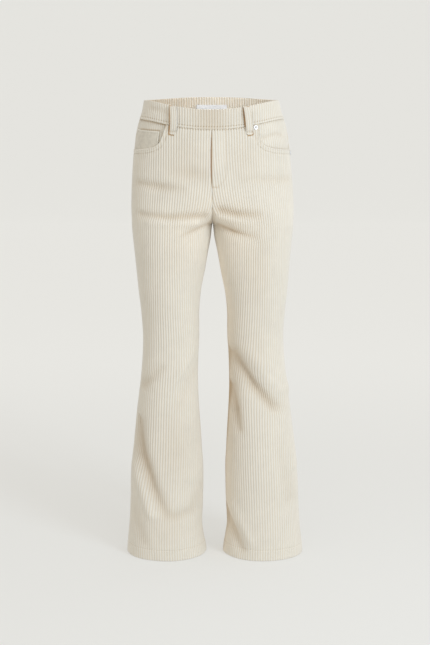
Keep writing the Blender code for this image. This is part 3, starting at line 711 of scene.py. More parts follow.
def corduroyMaterial():
    look = corduroyLook
    net = Net("corduroy", Roughness=look["roughness"], Sheen_Weight=look["sheen"],
              Sheen_Roughness=look["sheenRoughness"])
    wales, drop, hollow = net.weave()
    where = net.place()
    fromCrest = ((wales + 0.5).fraction() - 0.5).size() * 2.0
    crest = 1.0 - fromCrest.clipped(*look["crestFrom"])
    uneven = net.noise(where, look["napUneven"][0], 3.0)
    slow = net.noise(where, look["napSlow"][0])
    fuzz = net.noise(where, look["napFine"][0])
    tufts = (drop * (2 * math.pi / look["tuftLength"]) + fuzz * look["tuftStray"]).sine()
    colour = net.blend(crest, opaque(look["groove"]), opaque(look["crest"]))
    light = 1.0 + (uneven - 0.5) * look["napUneven"][1] + (fuzz - 0.5) * look["napFine"][1]
    light = light + (slow - 0.5) * look["napSlow"][1]
    # Painted shade: the weave's third value darkens the colour towards the shade tint, and above 1 towards
    # the gap tint.
    shadeTint = net.blend(hollow - 1.0, opaque(look["hollow"]), opaque(look["gap"]))
    tinted = net.blend(hollow, colour, shadeTint, "MULTIPLY")
    net.feed(Base_Color=net.shaded(tinted, light))
    pile = fuzz * (1 - look["tuftShare"]) + tufts * crest * look["tuftShare"]
    net.feed(Normal=net.bump(pile, *look["bump"]))
    return net.material


plainLook = {  # what the plain weaves share
    "edge": None,
    "roughness": 0.9,
    "sheen": 0.2,
    "sheenRoughness": 0.6,
    "through": 0.0,
    "uneven": (40.0, 0.09),  # noise scale and strength
    "fine": (700.0, 0.14),
    "check": 0.03,
    "bump": (0.00015, 0.6),
}
plainLooks = {  # and what is each one's own: colour, width of its threads, bound edge, painted glow
    "corduroy_reverse": {"colour": (0.700, 0.620, 0.490), "threads": 0.0008},
    # the pocket's bound edge is painted lighter: a painted highlight on the raised binding
    "pocket_twill": {
        "colour": (0.680, 0.634, 0.540), "threads": 0.0007, "edge": (0.800, 0.765, 0.680),
        "sheen": 0.3, "uneven": (130.0, 0.12),
    },
    # painted shade and glow: the placket is a dark warm brown that glows a little, for the shaded fly gap
    "placket_twill": {"colour": (0.560, 0.390, 0.250), "threads": 0.0007, "through": 0.15},
    "thread": {"colour": (0.740, 0.700, 0.610), "threads": 0.0006, "sheen": 0.1},
    "label_satin": {"colour": (0.775, 0.785, 0.805), "threads": 0.0005, "roughness": 0.5, "sheen": 0.1},
}


# A plain weave, its threads as a fine checked bump, with a painted glow in its own colour where it has one.
def plainMaterial(name):
    look = {**plainLook, **plainLooks[name]}
    net = Net(name, Roughness=look["roughness"], Sheen_Weight=look["sheen"],
              Sheen_Roughness=look["sheenRoughness"],
              Emission_Color=opaque(look["colour"]), Emission_Strength=look["through"])
    wales, drop, bound = net.weave()
    across = wales * (2 * math.pi * cut["walePitch"] / look["threads"])
    where = net.place()
    check = across.sine() * (drop * (2 * math.pi / look["threads"])).sine()
    fuzz = net.noise(where, look["fine"][0], 3.0)
    scale, strength = look["uneven"]
    slow = net.noise(where, scale).clipped(0.3, 0.7)
    base = net.blend(slow, opaque(c * (1 - strength) for c in look["colour"]), opaque(look["colour"]))
    # a painted highlight along a bound edge
    if look["edge"]:
        base = net.blend(bound, base, opaque(look["edge"]))
    net.feed(Base_Color=net.shaded(base, 1.0 + (fuzz - 0.5) * look["fine"][1] + check * look["check"]))
    net.feed(Normal=net.bump(check * 0.5 + fuzz, *look["bump"]))
    return net.material


corduroy = corduroyMaterial()
reverse, pocketCloth, placketCloth, threadLook, labelCloth = (plainMaterial(name) for name in plainLooks)
print("materials made")


# belt loop sizes, also used for the painted shade under them

loop = {
    "width": 0.0145,
    "length": 0.075,  # with what is turned under
    "standOff": 0.0070,
    "wall": 0.0012,
    "relief": 0.0011,
    "top": 0.0010,
    "tail": 0.0188,
    "sewn": 0.87,  # share of the height from which it lies on the cloth again
    "arch": 0.40,
    "rows": 64,
    "samplesPerWale": 6,
    "tackAt": 0.905,
    "tackShape": (0.012, 0.0007, 0.35),  # width, depth and painted shade
    "foldBulge": 0.0011,
    "foldStarts": 0.93,
    "roundEnd": 0.0025,
    # painted shade under the loops: its strength, where 2 takes the gap tint, then its shift, reach below and
    # fade
    "gapShade": 2.0,
    "gapShift": 0.0007,
    "gapBelow": 0.0018,
    "gapFade": 0.0012,
}
loops = (  # name, face, place of the lower end round from the centre, lean of the top, push of the middle
    ("belt_loop_front_right", front, -0.0845, 0.0000, 0.0045),
    ("belt_loop_front_left", front, 0.0820, -0.0070, 0.0000),
    ("belt_loop_side_right", back, -0.0850, 0.0000, 0.0000),
    ("belt_loop_back", back, 0.0000, 0.0000, 0.0000),
    ("belt_loop_side_left", back, 0.0850, 0.0000, 0.0000),
)


# The drops where a loop starts and ends.
def loopSpan(face, arc, lean):
    middle = float(seamAt(face, "centre", cut["bandSide"]))
    top = float(bandTop(face, middle + abs(arc + lean))) + loop["top"]
    return top, float(bandSeam(face, middle + abs(arc))) + loop["tail"]


# Painted shade where a belt loop stands over the cloth, with a little beside it on the side away from the
# light.
def underLoops(face, arc, drop):
    shade = np.zeros_like(arc)
    half = loop["width"] / 2
    for _, loopFace, place, lean, _ in loops:
        if loopFace == face:
            top, bottom = loopSpan(face, place, lean)
            across = arc - place - lean * (1 - unit((drop - top) / (bottom - top))) + loop["gapShift"]
            below = drop - bottom + loop["roundEnd"] * (across / half) ** 4
            covered = np.minimum(half + loop["gapShift"] - np.abs(across), loop["gapBelow"] - below)
            shade = np.maximum(shade, loop["gapShade"] * unit(covered / loop["gapFade"]))
    return shade


# the four leg panels

panel = {
    "samplesPerWale": 6,
    "rowSpacing": 0.0034,
    "topRows": (0.15, 16, 30),  # close rows down to this share of the shaped part, their number, the rest's
    "hemTurn": 0.025,
    "hemThick": 0.0016,
    "hemRoll": (0.0011, 0.0022),  # how far the fold rounds in, and over what height
    "hemPull": (0.0004, 0.0012, 0.25),  # depth and width of the stitched line, and how flat the wales are
    "hemStep": 0.002,
    "turnStep": 0.001,  # over what length the turned cloth starts inside the hem
    "softLow": (0.35, 0.80, 0.20),  # the wales are flatter by this share, from this drop, over this much
    "bandOver": 0.0005,
    "topPull": (0.0005, 0.0022),
    "seamPull": (0.0011, 0.0028, 0.0026),  # depth, then width at the side and at the other seam
    "pucker": (0.35, 700, 2, 190),
    "sideFlat": (0.6, 0.0016),
    "edgeFlat": (0.85, 0.0014, 0.0020),  # the scooped edge: share, place and width
    "edgeRoll": (0.0018, 0.0018, 0.0016),  # height, place and width
    "edgeRound": 0.0012,
    "scoopPull": 0.0005,
    "scoopStep": 0.0035,
    "scoopHoles": 0.8,
    "hemHoles": 0.3,
    "holeWidth": 0.0011,
    "holeDepth": 0.0008,
    # painted shade in the stitch holes
    "holeShade": 0.6,
    "stitchUnderBand": 0.0014,
    "stitchFromScoop": 0.0098,
    "foldDeep": 0.012,
    "foldShade": 0.45,  # painted warm shade at the bottom of a deep fold
    "creaseShade": 0.55,  # and of the fine line along it, by the crotch
    "creaseWidth": 0.3,
    "creaseAt": (0.013, 0.025),  # below the crotch, and over what height
    # painted shade along the inseams, inside the knee and at the crotch, and on the flattened gusset
    "inseamWidth": 0.012,
    "inseamShade": {right: 0.14, left: 0.42},
    "inseamStart": 0.015,
    "kneeShade": {right: 0.0, left: 1.0},  # more of it inside the knee away from the light
    "kneeAt": (0.740, 0.170),
    "crotchShade": {right: 0.45, left: 0.12},
    "crotchClears": 0.7,  # share of the inseam's own shade that this takes the place of
    "crotchAt": (0.015, 0.050),
    "gusset": {right: 0.006, left: 0.017},  # the flattened, shaded cloth at the foot of the front rise
    "gussetSpan": (0.232, 0.036, 0.278, 0.006),  # it widens from this drop over this much, and ends alike
    "gussetEdge": (0.004, 0.3),  # over what width it fades in, and how far it has come at its edge
    "gussetFlat": 0.8,
    "gussetShade": 0.16,
}
fly = {
    "sewnOver": 0.012,  # height over which the lap's edge becomes a sewn seam, below its end
    "edgeRound": (0.0012, 0.0022),
    "edgeFlat": (0.55, 0.001, 0.003),  # share, place and width
    "pressed": (0.75, 0.025, 0.010),  # the same, in the middle of the fly
    "pressedEnd": (0.165, 0.030),
    "stitch": (0.030, 0.156, 0.031),  # reach of the curved line, where it turns in, and over what height
    "stitchPull": (0.0005, 0.0013, 0.18),  # depth, width and painted shade
    "tackDrop": 0.1850,
    "tackReach": 0.0165,
    "tackBelow": 0.0020,
    # depth, width and painted shade under the fly's tack
    "tackPull": (0.0006, 0.0012, 0.35),
}
hemLine = cut["outseam"] - panel["hemTurn"]

# Soft painted shade patches on the front: side, x, drop, reach across and down, depth.
paintedShadePatches = (
    (right, 0.050, 0.115, 0.040, 0.050, 0.10),
    (left, 0.070, 0.125, 0.035, 0.045, 0.09),
    (left, 0.095, 0.380, 0.030, 0.100, 0.09),
    (left, 0.095, 0.560, 0.030, 0.060, 0.09),
    (left, 0.045, 0.620, 0.016, 0.200, 0.14),
    (right, 0.085, 0.780, 0.035, 0.080, 0.13),
    (right, 0.100, 0.970, 0.040, 0.035, 0.09),
)


# Shares of the shaped part and then level drops, one of each for every row. A share of 2 means that the
# row is level. The rows come closer about the hem's stitched line and at its rolled edge.
def panelRows():
    dense, count, rest = panel["topRows"]
    shares = np.concatenate([np.linspace(0, dense, count)[:-1], np.linspace(dense, 1.0, rest)[:-1]])
    last = hemLine - 0.006
    levels = np.concatenate([
        np.linspace(cut["blendDrop"], last, round((last - cut["blendDrop"]) / panel["rowSpacing"])),
        np.linspace(hemLine - 0.004, hemLine + 0.004, 9),
        np.linspace(hemLine + 0.007, cut["outseam"] - 0.004, 5),
        cut["outseam"] - np.array([0.0022, 0.001, 0.0004, 0.0]),
    ])
    return np.append(shares, np.full(len(levels), 2.0)), np.append(np.zeros(len(shares)), levels)


rowShares, rowLevels = panelRows()


# Each function of panelMarks gives a height, the share of the wales' height that is left, the stitch
# holes and the painted shade. Of what it is given, fromStart and fromSide are the distances to the two
# seams, and sewn is 0 along the open fly and 1 where the centre edge is a seam.

def sewnSides(at):
    share, fast, bend, slow = panel["pucker"]
    pucker = 1 + share * np.sin(at["drop"] * fast + bend * np.sin(at["drop"] * slow))
    depth, sideWidth, startWidth = panel["seamPull"]
    pull = bell(at["fromSide"], sideWidth) + bell(at["fromStart"], startWidth) * at["sewn"]
    flat, width = panel["sideFlat"]
    return -depth * pull * pucker, 1 - flat * bell(at["fromSide"], width), 0, 0


# The lap's edge is folded, so it rounds over, and the fly is pressed flat beside it.
def flyMarks(at):
    if (at["side"], at["face"]) != (left, front):
        return 0, 1, 0, 0
    depth, reach = fly["edgeRound"]
    raised = -depth * unit(1 - at["fromStart"] / reach) ** 2 * (1 - at["sewn"])
    flat, place, width = fly["edgeFlat"]
    scale = 1 - flat * bell(at["fromStart"] - place, width) * (1 - at["sewn"])
    flat, place, width = fly["pressed"]
    end, height = fly["pressedEnd"]
    pressed = unit((end - at["drop"]) / height) * bell(at["fromStart"] - place, width, 4)
    scale = scale * (1 - flat * pressed)
    reach, turns, height = fly["stitch"]
    away = np.hypot(at["fromStart"] / reach, np.maximum(at["drop"] - turns, 0) / height) - 1
    depth, width, dark = fly["stitchPull"]
    stitched = bell(away * reach, width)
    tackDepth, tackWidth, tackDark = fly["tackPull"]
    underTack = bell(at["drop"] - fly["tackDrop"] - fly["tackBelow"], tackWidth)
    underTack = underTack * (at["fromStart"] < fly["tackReach"])
    raised = raised - depth * stitched - tackDepth * underTack
    return raised, scale, 0, dark * stitched + tackDark * underTack


def topEdge(at):
    top = panelTop(at["side"], at["face"], at["s"])
    underBand = bandSeam(at["face"], at["s"]) + cut["seamGap"] + panel["bandOver"] >= top
    depth, width = panel["topPull"]
    fromTop = at["drop"] - top
    holes = underBand * (1 - at["wale"]) * bell(fromTop - panel["stitchUnderBand"], panel["holeWidth"])
    return -depth * underBand * bell(fromTop, width), 1, holes, 0


def scoopedEdge(at):
    if at["face"] == back:
        return 0, 1, 0, 0
    away = scoopDistance(at["side"], at["s"], at["drop"])
    flat, flatAt, flatWidth = panel["edgeFlat"]
    rise, rollAt, rollWidth = panel["edgeRoll"]
    line = bell(away - panel["stitchFromScoop"], panel["holeWidth"])
    raised = rise * bell(away - rollAt, rollWidth) - panel["scoopPull"] * line
    raised = raised - panel["edgeRound"] * unit(1 - away / panel["edgeRound"]) ** 2
    dashes = 0.5 - 0.5 * np.cos(2 * math.pi * (at["s"] + at["drop"]) / panel["scoopStep"])
    return raised, 1 - flat * bell(away - flatAt, flatWidth), panel["scoopHoles"] * line * dashes**2, 0


def rolledHem(drop):
    depth, reach = panel["hemRoll"]
    return depth * unit(1 - (cut["outseam"] - drop) / reach) ** 2


def hemMarks(at):
    depth, width, flat = panel["hemPull"]
    share, start, over = panel["softLow"]
    line = bell(at["drop"] - hemLine, width)
    raised = depth * (unit((at["drop"] - hemLine) / panel["hemStep"]) - line) - rolledHem(at["drop"])
    scale = (1 - share * unit((at["drop"] - start) / over)) * (1 - flat * line)
    holes = panel["hemHoles"] * (1 - at["wale"]) * bell(at["drop"] - hemLine, panel["holeWidth"])
    return raised, scale, holes, 0


def foldShades(at):
    side, face, drop = at["side"], at["face"], at["drop"]
    x = np.maximum(onRing(face, at["s"], drop)[0], 0)
    fade = seamFade(face, at["s"], drop)
    deep = unit(-foldHeight(side, face, x, drop) * fade / panel["foldDeep"])
    fine = foldHeight(side, face, x, drop, panel["creaseWidth"]) * np.sqrt(fade)
    below, height = panel["creaseAt"]
    crease = unit(-fine / panel["foldDeep"]) * bell(drop - cut["crotchDrop"] - below, height)
    shade = panel["foldShade"] * deep + panel["creaseShade"] * crease
    for shadeSide, atX, atDrop, across, down, depth in paintedShadePatches:
        if (shadeSide, front) == (side, face):
            shade = shade + depth * bell(x - atX, across) * bell(drop - atDrop, down)
    return 0, 1, 0, shade


def inseamShades(at):
    side, belowCrotch = at["side"], at["drop"] - cut["crotchDrop"]
    below, height = panel["crotchAt"]
    nearCrotch = bell(belowCrotch - below, height)
    kneeDrop, kneeHeight = panel["kneeAt"]
    knee = panel["kneeShade"][side] * bell(at["drop"] - kneeDrop, kneeHeight) * (at["face"] == front)
    shade = panel["inseamShade"][side] * (1 - panel["crotchClears"] * nearCrotch)
    shade = shade + panel["crotchShade"][side] * nearCrotch
    start = unit(belowCrotch / panel["inseamStart"] + 1)
    return 0, 1, 0, (shade + knee) * bell(at["fromStart"], panel["inseamWidth"]) * start


def gussetMarks(at):
    if at["face"] == back:
        return 0, 1, 0, 0
    widens = between(at["drop"], *panel["gussetSpan"])
    inFromEdge = panel["gusset"][at["side"]] * widens - at["fromStart"]
    fade, atEdge = panel["gussetEdge"]
    gusset = unit(inFromEdge / fade + atEdge) * (widens > 0)
    return 0, 1 - panel["gussetFlat"] * gusset, 0, panel["gussetShade"] * gusset


panelMarks = (
    sewnSides, flyMarks, topEdge, scoopedEdge, hemMarks, foldShades, inseamShades, gussetMarks,
)


# How far the outside stands off the bottom of the grooves, and how much painted shade it gets.
def panelLift(side, face, wales, s, drop, start, end):
    wale = waleShape(wales)
    at = {"side": side, "face": face, "s": s, "drop": drop, "wale": wale}
    at["fromStart"], at["fromSide"] = s - start, end - s
    openFly = (side, face) == (left, front)
    at["sewn"] = unit((drop - cut["flyEnd"]) / fly["sewnOver"]) if openFly else 1.0
    raised, scale, holes, shade = ripple(side, face, s, drop), 1, 0, 0
    for mark in panelMarks:
        height, kept, hole, dark = mark(at)
        raised, scale, holes, shade = raised + height, scale * kept, holes + hole, shade + dark
    holes = unit(holes)
    raised = raised - panel["holeDepth"] * holes
    shade = unit(shade + panel["holeShade"] * holes)
    arc = side * (s - float(seamAt(face, "centre", cut["bandSide"])))
    return cut["waleHeight"] * wale * scale + raised, np.maximum(shade, underLoops(face, arc, drop))


def panelDrop(side, face, row, s):
    top = panelTop(side, face, s)
    shaped = top + rowShares[row] * (cut["blendDrop"] - top)
    return np.where(rowShares[row] <= 1, shaped, rowLevels[row])


# Where each row starts and ends at the seams; the open fly's edge is cut back.
def panelEnds(side, face, rows):
    seams = []
    for which in ("centre", "side"):
        s = np.full(len(rows), float(seamAt(face, which, cut["hipDrop"])))
        for _ in range(settle):
            s = seamAt(face, which, panelDrop(side, face, rows, s))
        seams.append(s)
    starts, ends = seams[0] + cut["seamGap"] / 2, seams[1] - cut["seamGap"] / 2
    if (side, face) == (right, front):
        place = panelDrop(side, face, rows, seams[0]) - cut["bandFront"]
        starts = starts + cut["flyGap"] * np.sin(math.pi * unit(place / (cut["flyEnd"] - cut["bandFront"])))
    return starts, ends


def panelLayer(side, face, rows, starts, ends, inside):
    step = cut["walePitch"] if inside else cut["walePitch"] / panel["samplesPerWale"]
    grains = (s - waleSlant(side, face, s, panelDrop(side, face, rows, s)) for s in (starts, ends))
    grid = wovenGrid(*grains, step)
    grain, row = grid["s"], grid["row"]
    s = grain
    for _ in range(settleGrain):
        s = grain + waleSlant(side, face, s, panelDrop(side, face, row, s))
    s = np.where(grid["isStart"], starts[row], np.where(grid["isEnd"], ends[row], s))
    drop = panelDrop(side, face, row, s)
    if inside:
        turned = unit((drop - hemLine) / panel["turnStep"])
        lift = rolledHem(drop) + ripple(side, face, s, drop) - cut["wall"] - panel["hemThick"] * turned
        shade = np.zeros_like(s)
    else:
        lift, shade = panelLift(side, face, grain / cut["walePitch"], s, drop, starts[row], ends[row])
    aboveCrotch = drop < cut["crotchDrop"]
    flatX, flatY = grid["isStart"] & aboveCrotch, grid["isEnd"] | (grid["isStart"] & ~aboveCrotch)
    points = lifted(side, face, s + waleDrift(side, face, s, drop), drop, lift, flatX, flatY)
    return grid, points, weaveOf(grain / cut["walePitch"], drop, shade)


def makePanel(name, side, face):
    rows = np.arange(len(rowShares))
    starts, ends = panelEnds(side, face, rows)
    outside, reverseSide = (panelLayer(side, face, rows, starts, ends, inside) for inside in (False, True))
    piece = closedCloth(name, *outside, *reverseSide, side * face == -1)
    finishCloth(piece)
    widths, middles = ends - starts, panelDrop(side, face, rows, (starts + ends) / 2)
    cutArea = float(np.sum(widths[:-1] * np.diff(middles)))
    print(name, "cut area", round(cutArea, 4), "widest", round(float(widths.max()), 3))
    return piece


panelCuts = (
    ("front_right_cloth", right, front, (0.298, 0.985), 0.240),
    ("front_left_cloth", left, front, (0.298, 0.985), 0.240),
    ("back_right_cloth", right, back, (0.331, 1.003), 0.255),
    ("back_left_cloth", left, back, (0.331, 1.003), 0.255),
)
panels = {(side, face): makePanel(name, side, face) for name, side, face, flat, area in panelCuts}
print("leg panels sewn")


# the waistband, outside and inside in one sheet

band = {
    "samplesPerWale": 6,
    "level": 0.03,  # the drop at which distances round the band are measured
    "closeRows": (0.0125, 0.0008),  # above the seam, and their spacing
    "openRows": (0.0145, 0.040, 12),
    "height": 0.043,
    "foldRows": 7,
    "insideRows": 16,
    "ridge": (0.0013, 0.0025, 0.0023),  # the rolled edge's height, its middle above the seam, and width
    "ridgeFlat": 0.75,
    "valley": (0.0004, 0.0009),  # depth and width, as in the next two
    "edgeRound": (0.0007, 0.0007),
    "endPull": (0.0009, 0.0026),
    "stitchAbove": 0.0056,
    "wave": (0.0004, 95, 160),
    "insideRelief": 0.45,  # the inner wales are pressed flat, and clear the label
    # painted shade in the inner grooves
    "insideShade": 0.42,
    "middleShade": (0.28, -0.004, 0.037),  # painted shade: the front's middle leans in, away from the light
    "shadySide": (0.40, 0.14),  # painted shade: the far inside is darker towards -X
    "dent": (0.0016, 0.12, 0.027, 0.006),  # depth, painted shade, height above the seam and width of a soft dent
    "dentEnds": (-0.154, 0.012, -0.086, 0.012),  # it runs between the loop at -X and the side
}


# Each row's height as a share of the band, and its angle over the fold at the top.
def bandRows():
    close = np.arange(0, *band["closeRows"])
    upper = np.concatenate([close, np.linspace(*band["openRows"])]) / band["height"]
    outside = np.concatenate([upper, np.linspace(0.945, 0.975, 2)])
    inside = np.linspace(0.03, 1.0, band["insideRows"])
    over = np.linspace(0.0, math.pi, band["foldRows"])
    shares = np.concatenate([outside, np.ones(len(over)), 1.0 - inside])
    return shares, np.concatenate([0 * outside, over, np.full(len(inside), math.pi)])


# The outside's height off the bottom of its grooves, with the share of the wales kept and the painted shade.
def bandLift(face, arc, drop, above, wale, outward, fromEnd):
    isOut = outward > 0.99
    isFront = isOut * (face == front)
    height, place, width = band["ridge"]
    ridge = bell(above - place, width, 4)
    shape = height * ridge
    for name, away in (("valley", above - band["stitchAbove"]), ("edgeRound", above), ("endPull", fromEnd)):
        depth, width = band[name]
        shape = shape - depth * bell(away, width)
    rise, acrossWaves, downWaves = band["wave"]
    shape = shape + rise * np.sin(arc * acrossWaves + drop * downWaves)
    holes = isOut * (1 - wale) * bell(above - band["stitchAbove"], panel["holeWidth"])
    depth, dentShade, place, width = band["dent"]
    dented = isFront * bell(above - place, width) * between(arc, *band["dentEnds"])
    shape = isOut * shape - panel["holeDepth"] * holes - depth * dented
    relief = np.where(outward < -0.5, band["insideRelief"], 1.0)
    scale = np.where(isOut, 1 - band["ridgeFlat"] * ridge, relief)
    shadySide, far = band["shadySide"]
    within = unit(-outward) * (band["insideShade"] * (1 - wale) + shadySide * unit(-arc / far))
    dark, place, reach = band["middleShade"]
    middle = dark * isFront * bell(arc - place, reach)
    shade = unit(panel["holeShade"] * holes + dentShade * dented + within + middle)
    return shape, scale, np.maximum(shade, isOut * underLoops(face, arc, drop))


def makeBand(name, face):
    shares, angles = bandRows()
    radius = cut["bandWall"] / 2

    def roundFrom(arc):
        return seamAt(face, "centre", band["level"]) + np.abs(arc)

    def dropAt(rows, arc):
        top, seam = bandTop(face, roundFrom(arc)), bandSeam(face, roundFrom(arc))
        return seam + shares[rows] * (top + radius - seam) - radius * np.sin(angles[rows])

    rows = np.arange(len(shares))
    ends = np.full(len(rows), 0.2)
    for _ in range(settle):
        drops = dropAt(rows, ends)
        ends = seamAt(face, "side", drops) - seamAt(face, "centre", drops)
    ends = ends - cut["seamGap"] / 2
    grid = wovenGrid(-ends, ends, cut["walePitch"] / band["samplesPerWale"])
    arc, row = grid["s"], grid["row"]
    drop = dropAt(row, arc)
    above = bandSeam(face, roundFrom(arc)) - drop
    wales = arc / cut["walePitch"] + 0.5
    wale, outward = waleShape(wales), np.cos(angles[row])
    shape, scale, shade = bandLift(face, arc, drop, above, wale, outward, ends[row] - np.abs(arc))
    lift = -radius + (radius + cut["waleHeight"] * wale * scale) * outward + shape
    points = fromCentre(face, arc, drop, lift)
    faces = gridFaces(grid["index"], face == front)
    # the seam allowance closes the lower edge, and flat ends close the sides
    base = grid["base"].tolist()
    first, last = ([(arc[v], v) for v in range(*base[i:i + 2])] for i in (0, len(base) - 2))
    faces += zipped(first, last, face != front)
    faces += [tuple(base[:-1]), tuple(v - 1 for v in base[1:])[::-1]]
    piece = newPiece(name, points, faces, weaveOf(wales, drop, shade), (), (corduroy,))
    return finishCloth(piece)


bands = {
    front: makeBand("waistband_front_cloth", front),
    back: makeBand("waistband_back_cloth", back),
}
print("waistband sewn")


# pocket facings behind the scooped edges

facing = {
    "underlay": 0.009,
    "wall": 0.001,
    "rows": 30,
    "comesOut": 0.010,
    "relief": 0.0009,
    "endPull": (0.0006, 0.0026),
    "opens": (0.002, 0.014),  # above the scooped edge, and over what height it comes out to the side
    # painted shade along the scooped edge, under the band, over the coin pocket and in the crease
    "contactShade": {right: 0.60, left: 0.20},
    "contactWidth": 0.0022,
    "bandShade": {right: 0.80, left: 0.15},
    "bandShadeAt": (0.0012, 0.0018),
    "coinShade": 0.9,
    "coinShadeAt": (0.0012, 0.0017),
    "coinShadeEnds": (0.025, 0.020, 0.106, 0.004),  # by the reach in from the side, as is the next
    "creaseEnds": (0.030, 0.020, 0.112, 0.006),
    "crease": 0.0010,
    "creaseWidth": 0.0035,
    "creaseShade": 0.15,
}
facingCrease = ((0.038, 0.0767), (0.070, 0.0722), (0.107, 0.0810))  # reach and drop, on the side at +X
coinPocket = {
    "topSide": 0.0620,
    "topInner": 0.0665,
    "reach": 0.1000,
    "underlay": 0.0072,
    "boundHeight": 0.0009,
    "boundMiddle": 0.0015,
    "boundWidths": (0.0013, 0.0012),  # of the binding at the top and at the inner edge
    "stitched": ((0.0005, 0.0052), (0.0004, 0.0050)),  # depth and place of the line beside each
    "bulge": 0.0007,
}


def coinTop(reach):
    drop = coinPocket["topInner"] - coinPocket["topSide"]
    return coinPocket["topSide"] + drop * reach / coinPocket["reach"]


# The dent and the painted shade on a facing: at the pocket's edge, over the coin pocket, in its crease.
def facingMarks(side, reach, s, drop):
    shade = facing["contactShade"][side] * bell(scoopDistance(side, s, drop), facing["contactWidth"])
    below, width = facing["bandShadeAt"]
    shade = shade + facing["bandShade"][side] * bell(drop - bandSeam(front, s) - below, width)
    if side == right:
        above, width = facing["coinShadeAt"]
        overCoin = bell(coinTop(reach) - above - drop, width) * between(reach, *facing["coinShadeEnds"])
        return 0.0 * s, np.maximum(shade, facing["coinShade"] * overCoin)
    crease = bell(drop - np.interp(reach, *zip(*facingCrease)), facing["creaseWidth"])
    crease = crease * between(reach, *facing["creaseEnds"])
    return facing["crease"] * crease, np.maximum(shade, facing["creaseShade"] * crease)


def makeFacing(name, side, crestLift):
    sideSeam = float(seamAt(front, "side", cut["hipDrop"]))
    share = np.linspace(0, 1, facing["rows"])

    def dropAt(rows, s):
        top = bandSeam(front, s) + cut["seamGap"]
        bottom = np.maximum(scoopDrop(side, s), top) + facing["underlay"]
        return top + share[rows] * (bottom - top)

    rows = np.arange(len(share))
    starts = np.full(len(rows), sideSeam - scoopCorner - scoopWider[side] - facing["underlay"])
    ends = np.full(len(rows), sideSeam)
    for _ in range(settle):
        ends = seamAt(front, "side", dropAt(rows, ends))
    ends = ends - cut["seamGap"] / 2
    pull, pullWidth = facing["endPull"]
    above, over = facing["opens"]
    made = []
    for step, inside in ((cut["walePitch"] / panel["samplesPerWale"], False), (cut["walePitch"], True)):
        grid = wovenGrid(starts, ends, step)
        s, drop = grid["s"], dropAt(grid["row"], grid["s"])
        fromEnd = ends[grid["row"]] - s
        relief = facing["relief"] * waleShape(s / cut["walePitch"]) - pull * bell(fromEnd, pullWidth)
        opening = unit((scoopDrop(side, s) - above - drop) / over)
        out = unit(1 - fromEnd / facing["comesOut"]) ** 1.5 * opening
        dent, shade = facingMarks(side, sideSeam - s, s, drop)
        lift = (crestLift - facing["relief"] + (not inside) * relief) * (1 - out) - facing["wall"] * inside
        points = lifted(side, front, s, drop, lift - dent, None, grid["isEnd"])
        made += [grid, points, weaveOf(s / cut["walePitch"], drop, shade)]
    finishCloth(closedCloth(name, *made, side * front == -1))


underPanel = -cut["wall"] - cut["layerGap"]
rightFacing = underPanel - cut["layerGap"] - facing["wall"]  # the coin pocket lies in between
makeFacing("pocket_facing_right_cloth", right, rightFacing)
makeFacing("pocket_facing_left_cloth", left, underPanel)


# plain pieces: coin pocket, placket and label

plainSharpest = 60
placket = {"top": 0.0006, "end": 0.212, "reach": 0.016, "wall": 0.001, "walesAcross": 2.7}
labelSize = {
    "width": 0.071, "height": 0.024, "drop": 0.011, "wall": 0.0006, "gap": 0.00070, "corner": 0.05,
    "edge": 0.00025,
}


def makeCoinPocket():
    sideSeam = seamAt(front, "side", cut["hipDrop"])
    along = np.concatenate([np.linspace(1.0, 0.93, 12), np.linspace(0.92, 0.03, 44)])[None, :]
    share = np.concatenate([np.linspace(0, 0.12, 10), np.linspace(0.15, 1.0, 26)])[:, None]
    reach = along * coinPocket["reach"]
    top = coinTop(reach)
    bottom = scoopDrop(right, sideSeam - reach) + coinPocket["underlay"]
    drop = top + share * (bottom - top)
    s = seamAt(front, "side", drop) - reach
    fromEdges = np.broadcast_arrays(drop - top, coinPocket["reach"] - reach)
    bound = np.maximum(*(
        bell(away - coinPocket["boundMiddle"], width)
        for away, width in zip(fromEdges, coinPocket["boundWidths"])
    ))
    lift = underPanel + coinPocket["boundHeight"] * bound
    for away, (depth, place) in zip(fromEdges, coinPocket["stitched"]):
        lift = lift - depth * bell(away - place, 0.0010)
    lift = lift + coinPocket["bulge"] * np.sin(math.pi * share) * np.sin(math.pi * along) ** 0.5
    stays = 1 - unit(1 - reach / facing["comesOut"]) ** 1.5  # it follows the facing out to the side seam
    outer = lifted(right, front, s, drop, lift * stays)
    inner = lifted(right, front, s, drop, underPanel * stays - facing["wall"])
    weave = weaveOf(s / cut["walePitch"], drop, bound)
    piece = closedSheet("coin_pocket_cloth", outer, inner, weave, pocketCloth, True)
    finishCloth(piece, plainSharpest)


def makePlacket():
    drops = np.linspace(cut["bandFront"] + placket["top"], placket["end"], 46)[:, None]
    across = np.linspace(-1, 1, 17)[None, :]
    lean = cut["hemLean"] * drops / cut["outseam"]
    made = []
    for extra in (0.0, -placket["wall"]):
        s = seamAt(front, "centre", drops) + np.abs(across) * placket["reach"]
        point = lifted(right, front, s, drops, underPanel + extra, clamp=False)
        point[..., 0] = lean + np.where(across == 0, 0.0, np.sign(across) * (lean - point[..., 0]))
        made.append(point)
    weave = weaveOf(across * placket["walesAcross"], drops, 0.0)
    piece = closedSheet("fly_placket_cloth", *made, weave, placketCloth, True)
    finishCloth(piece, plainSharpest)


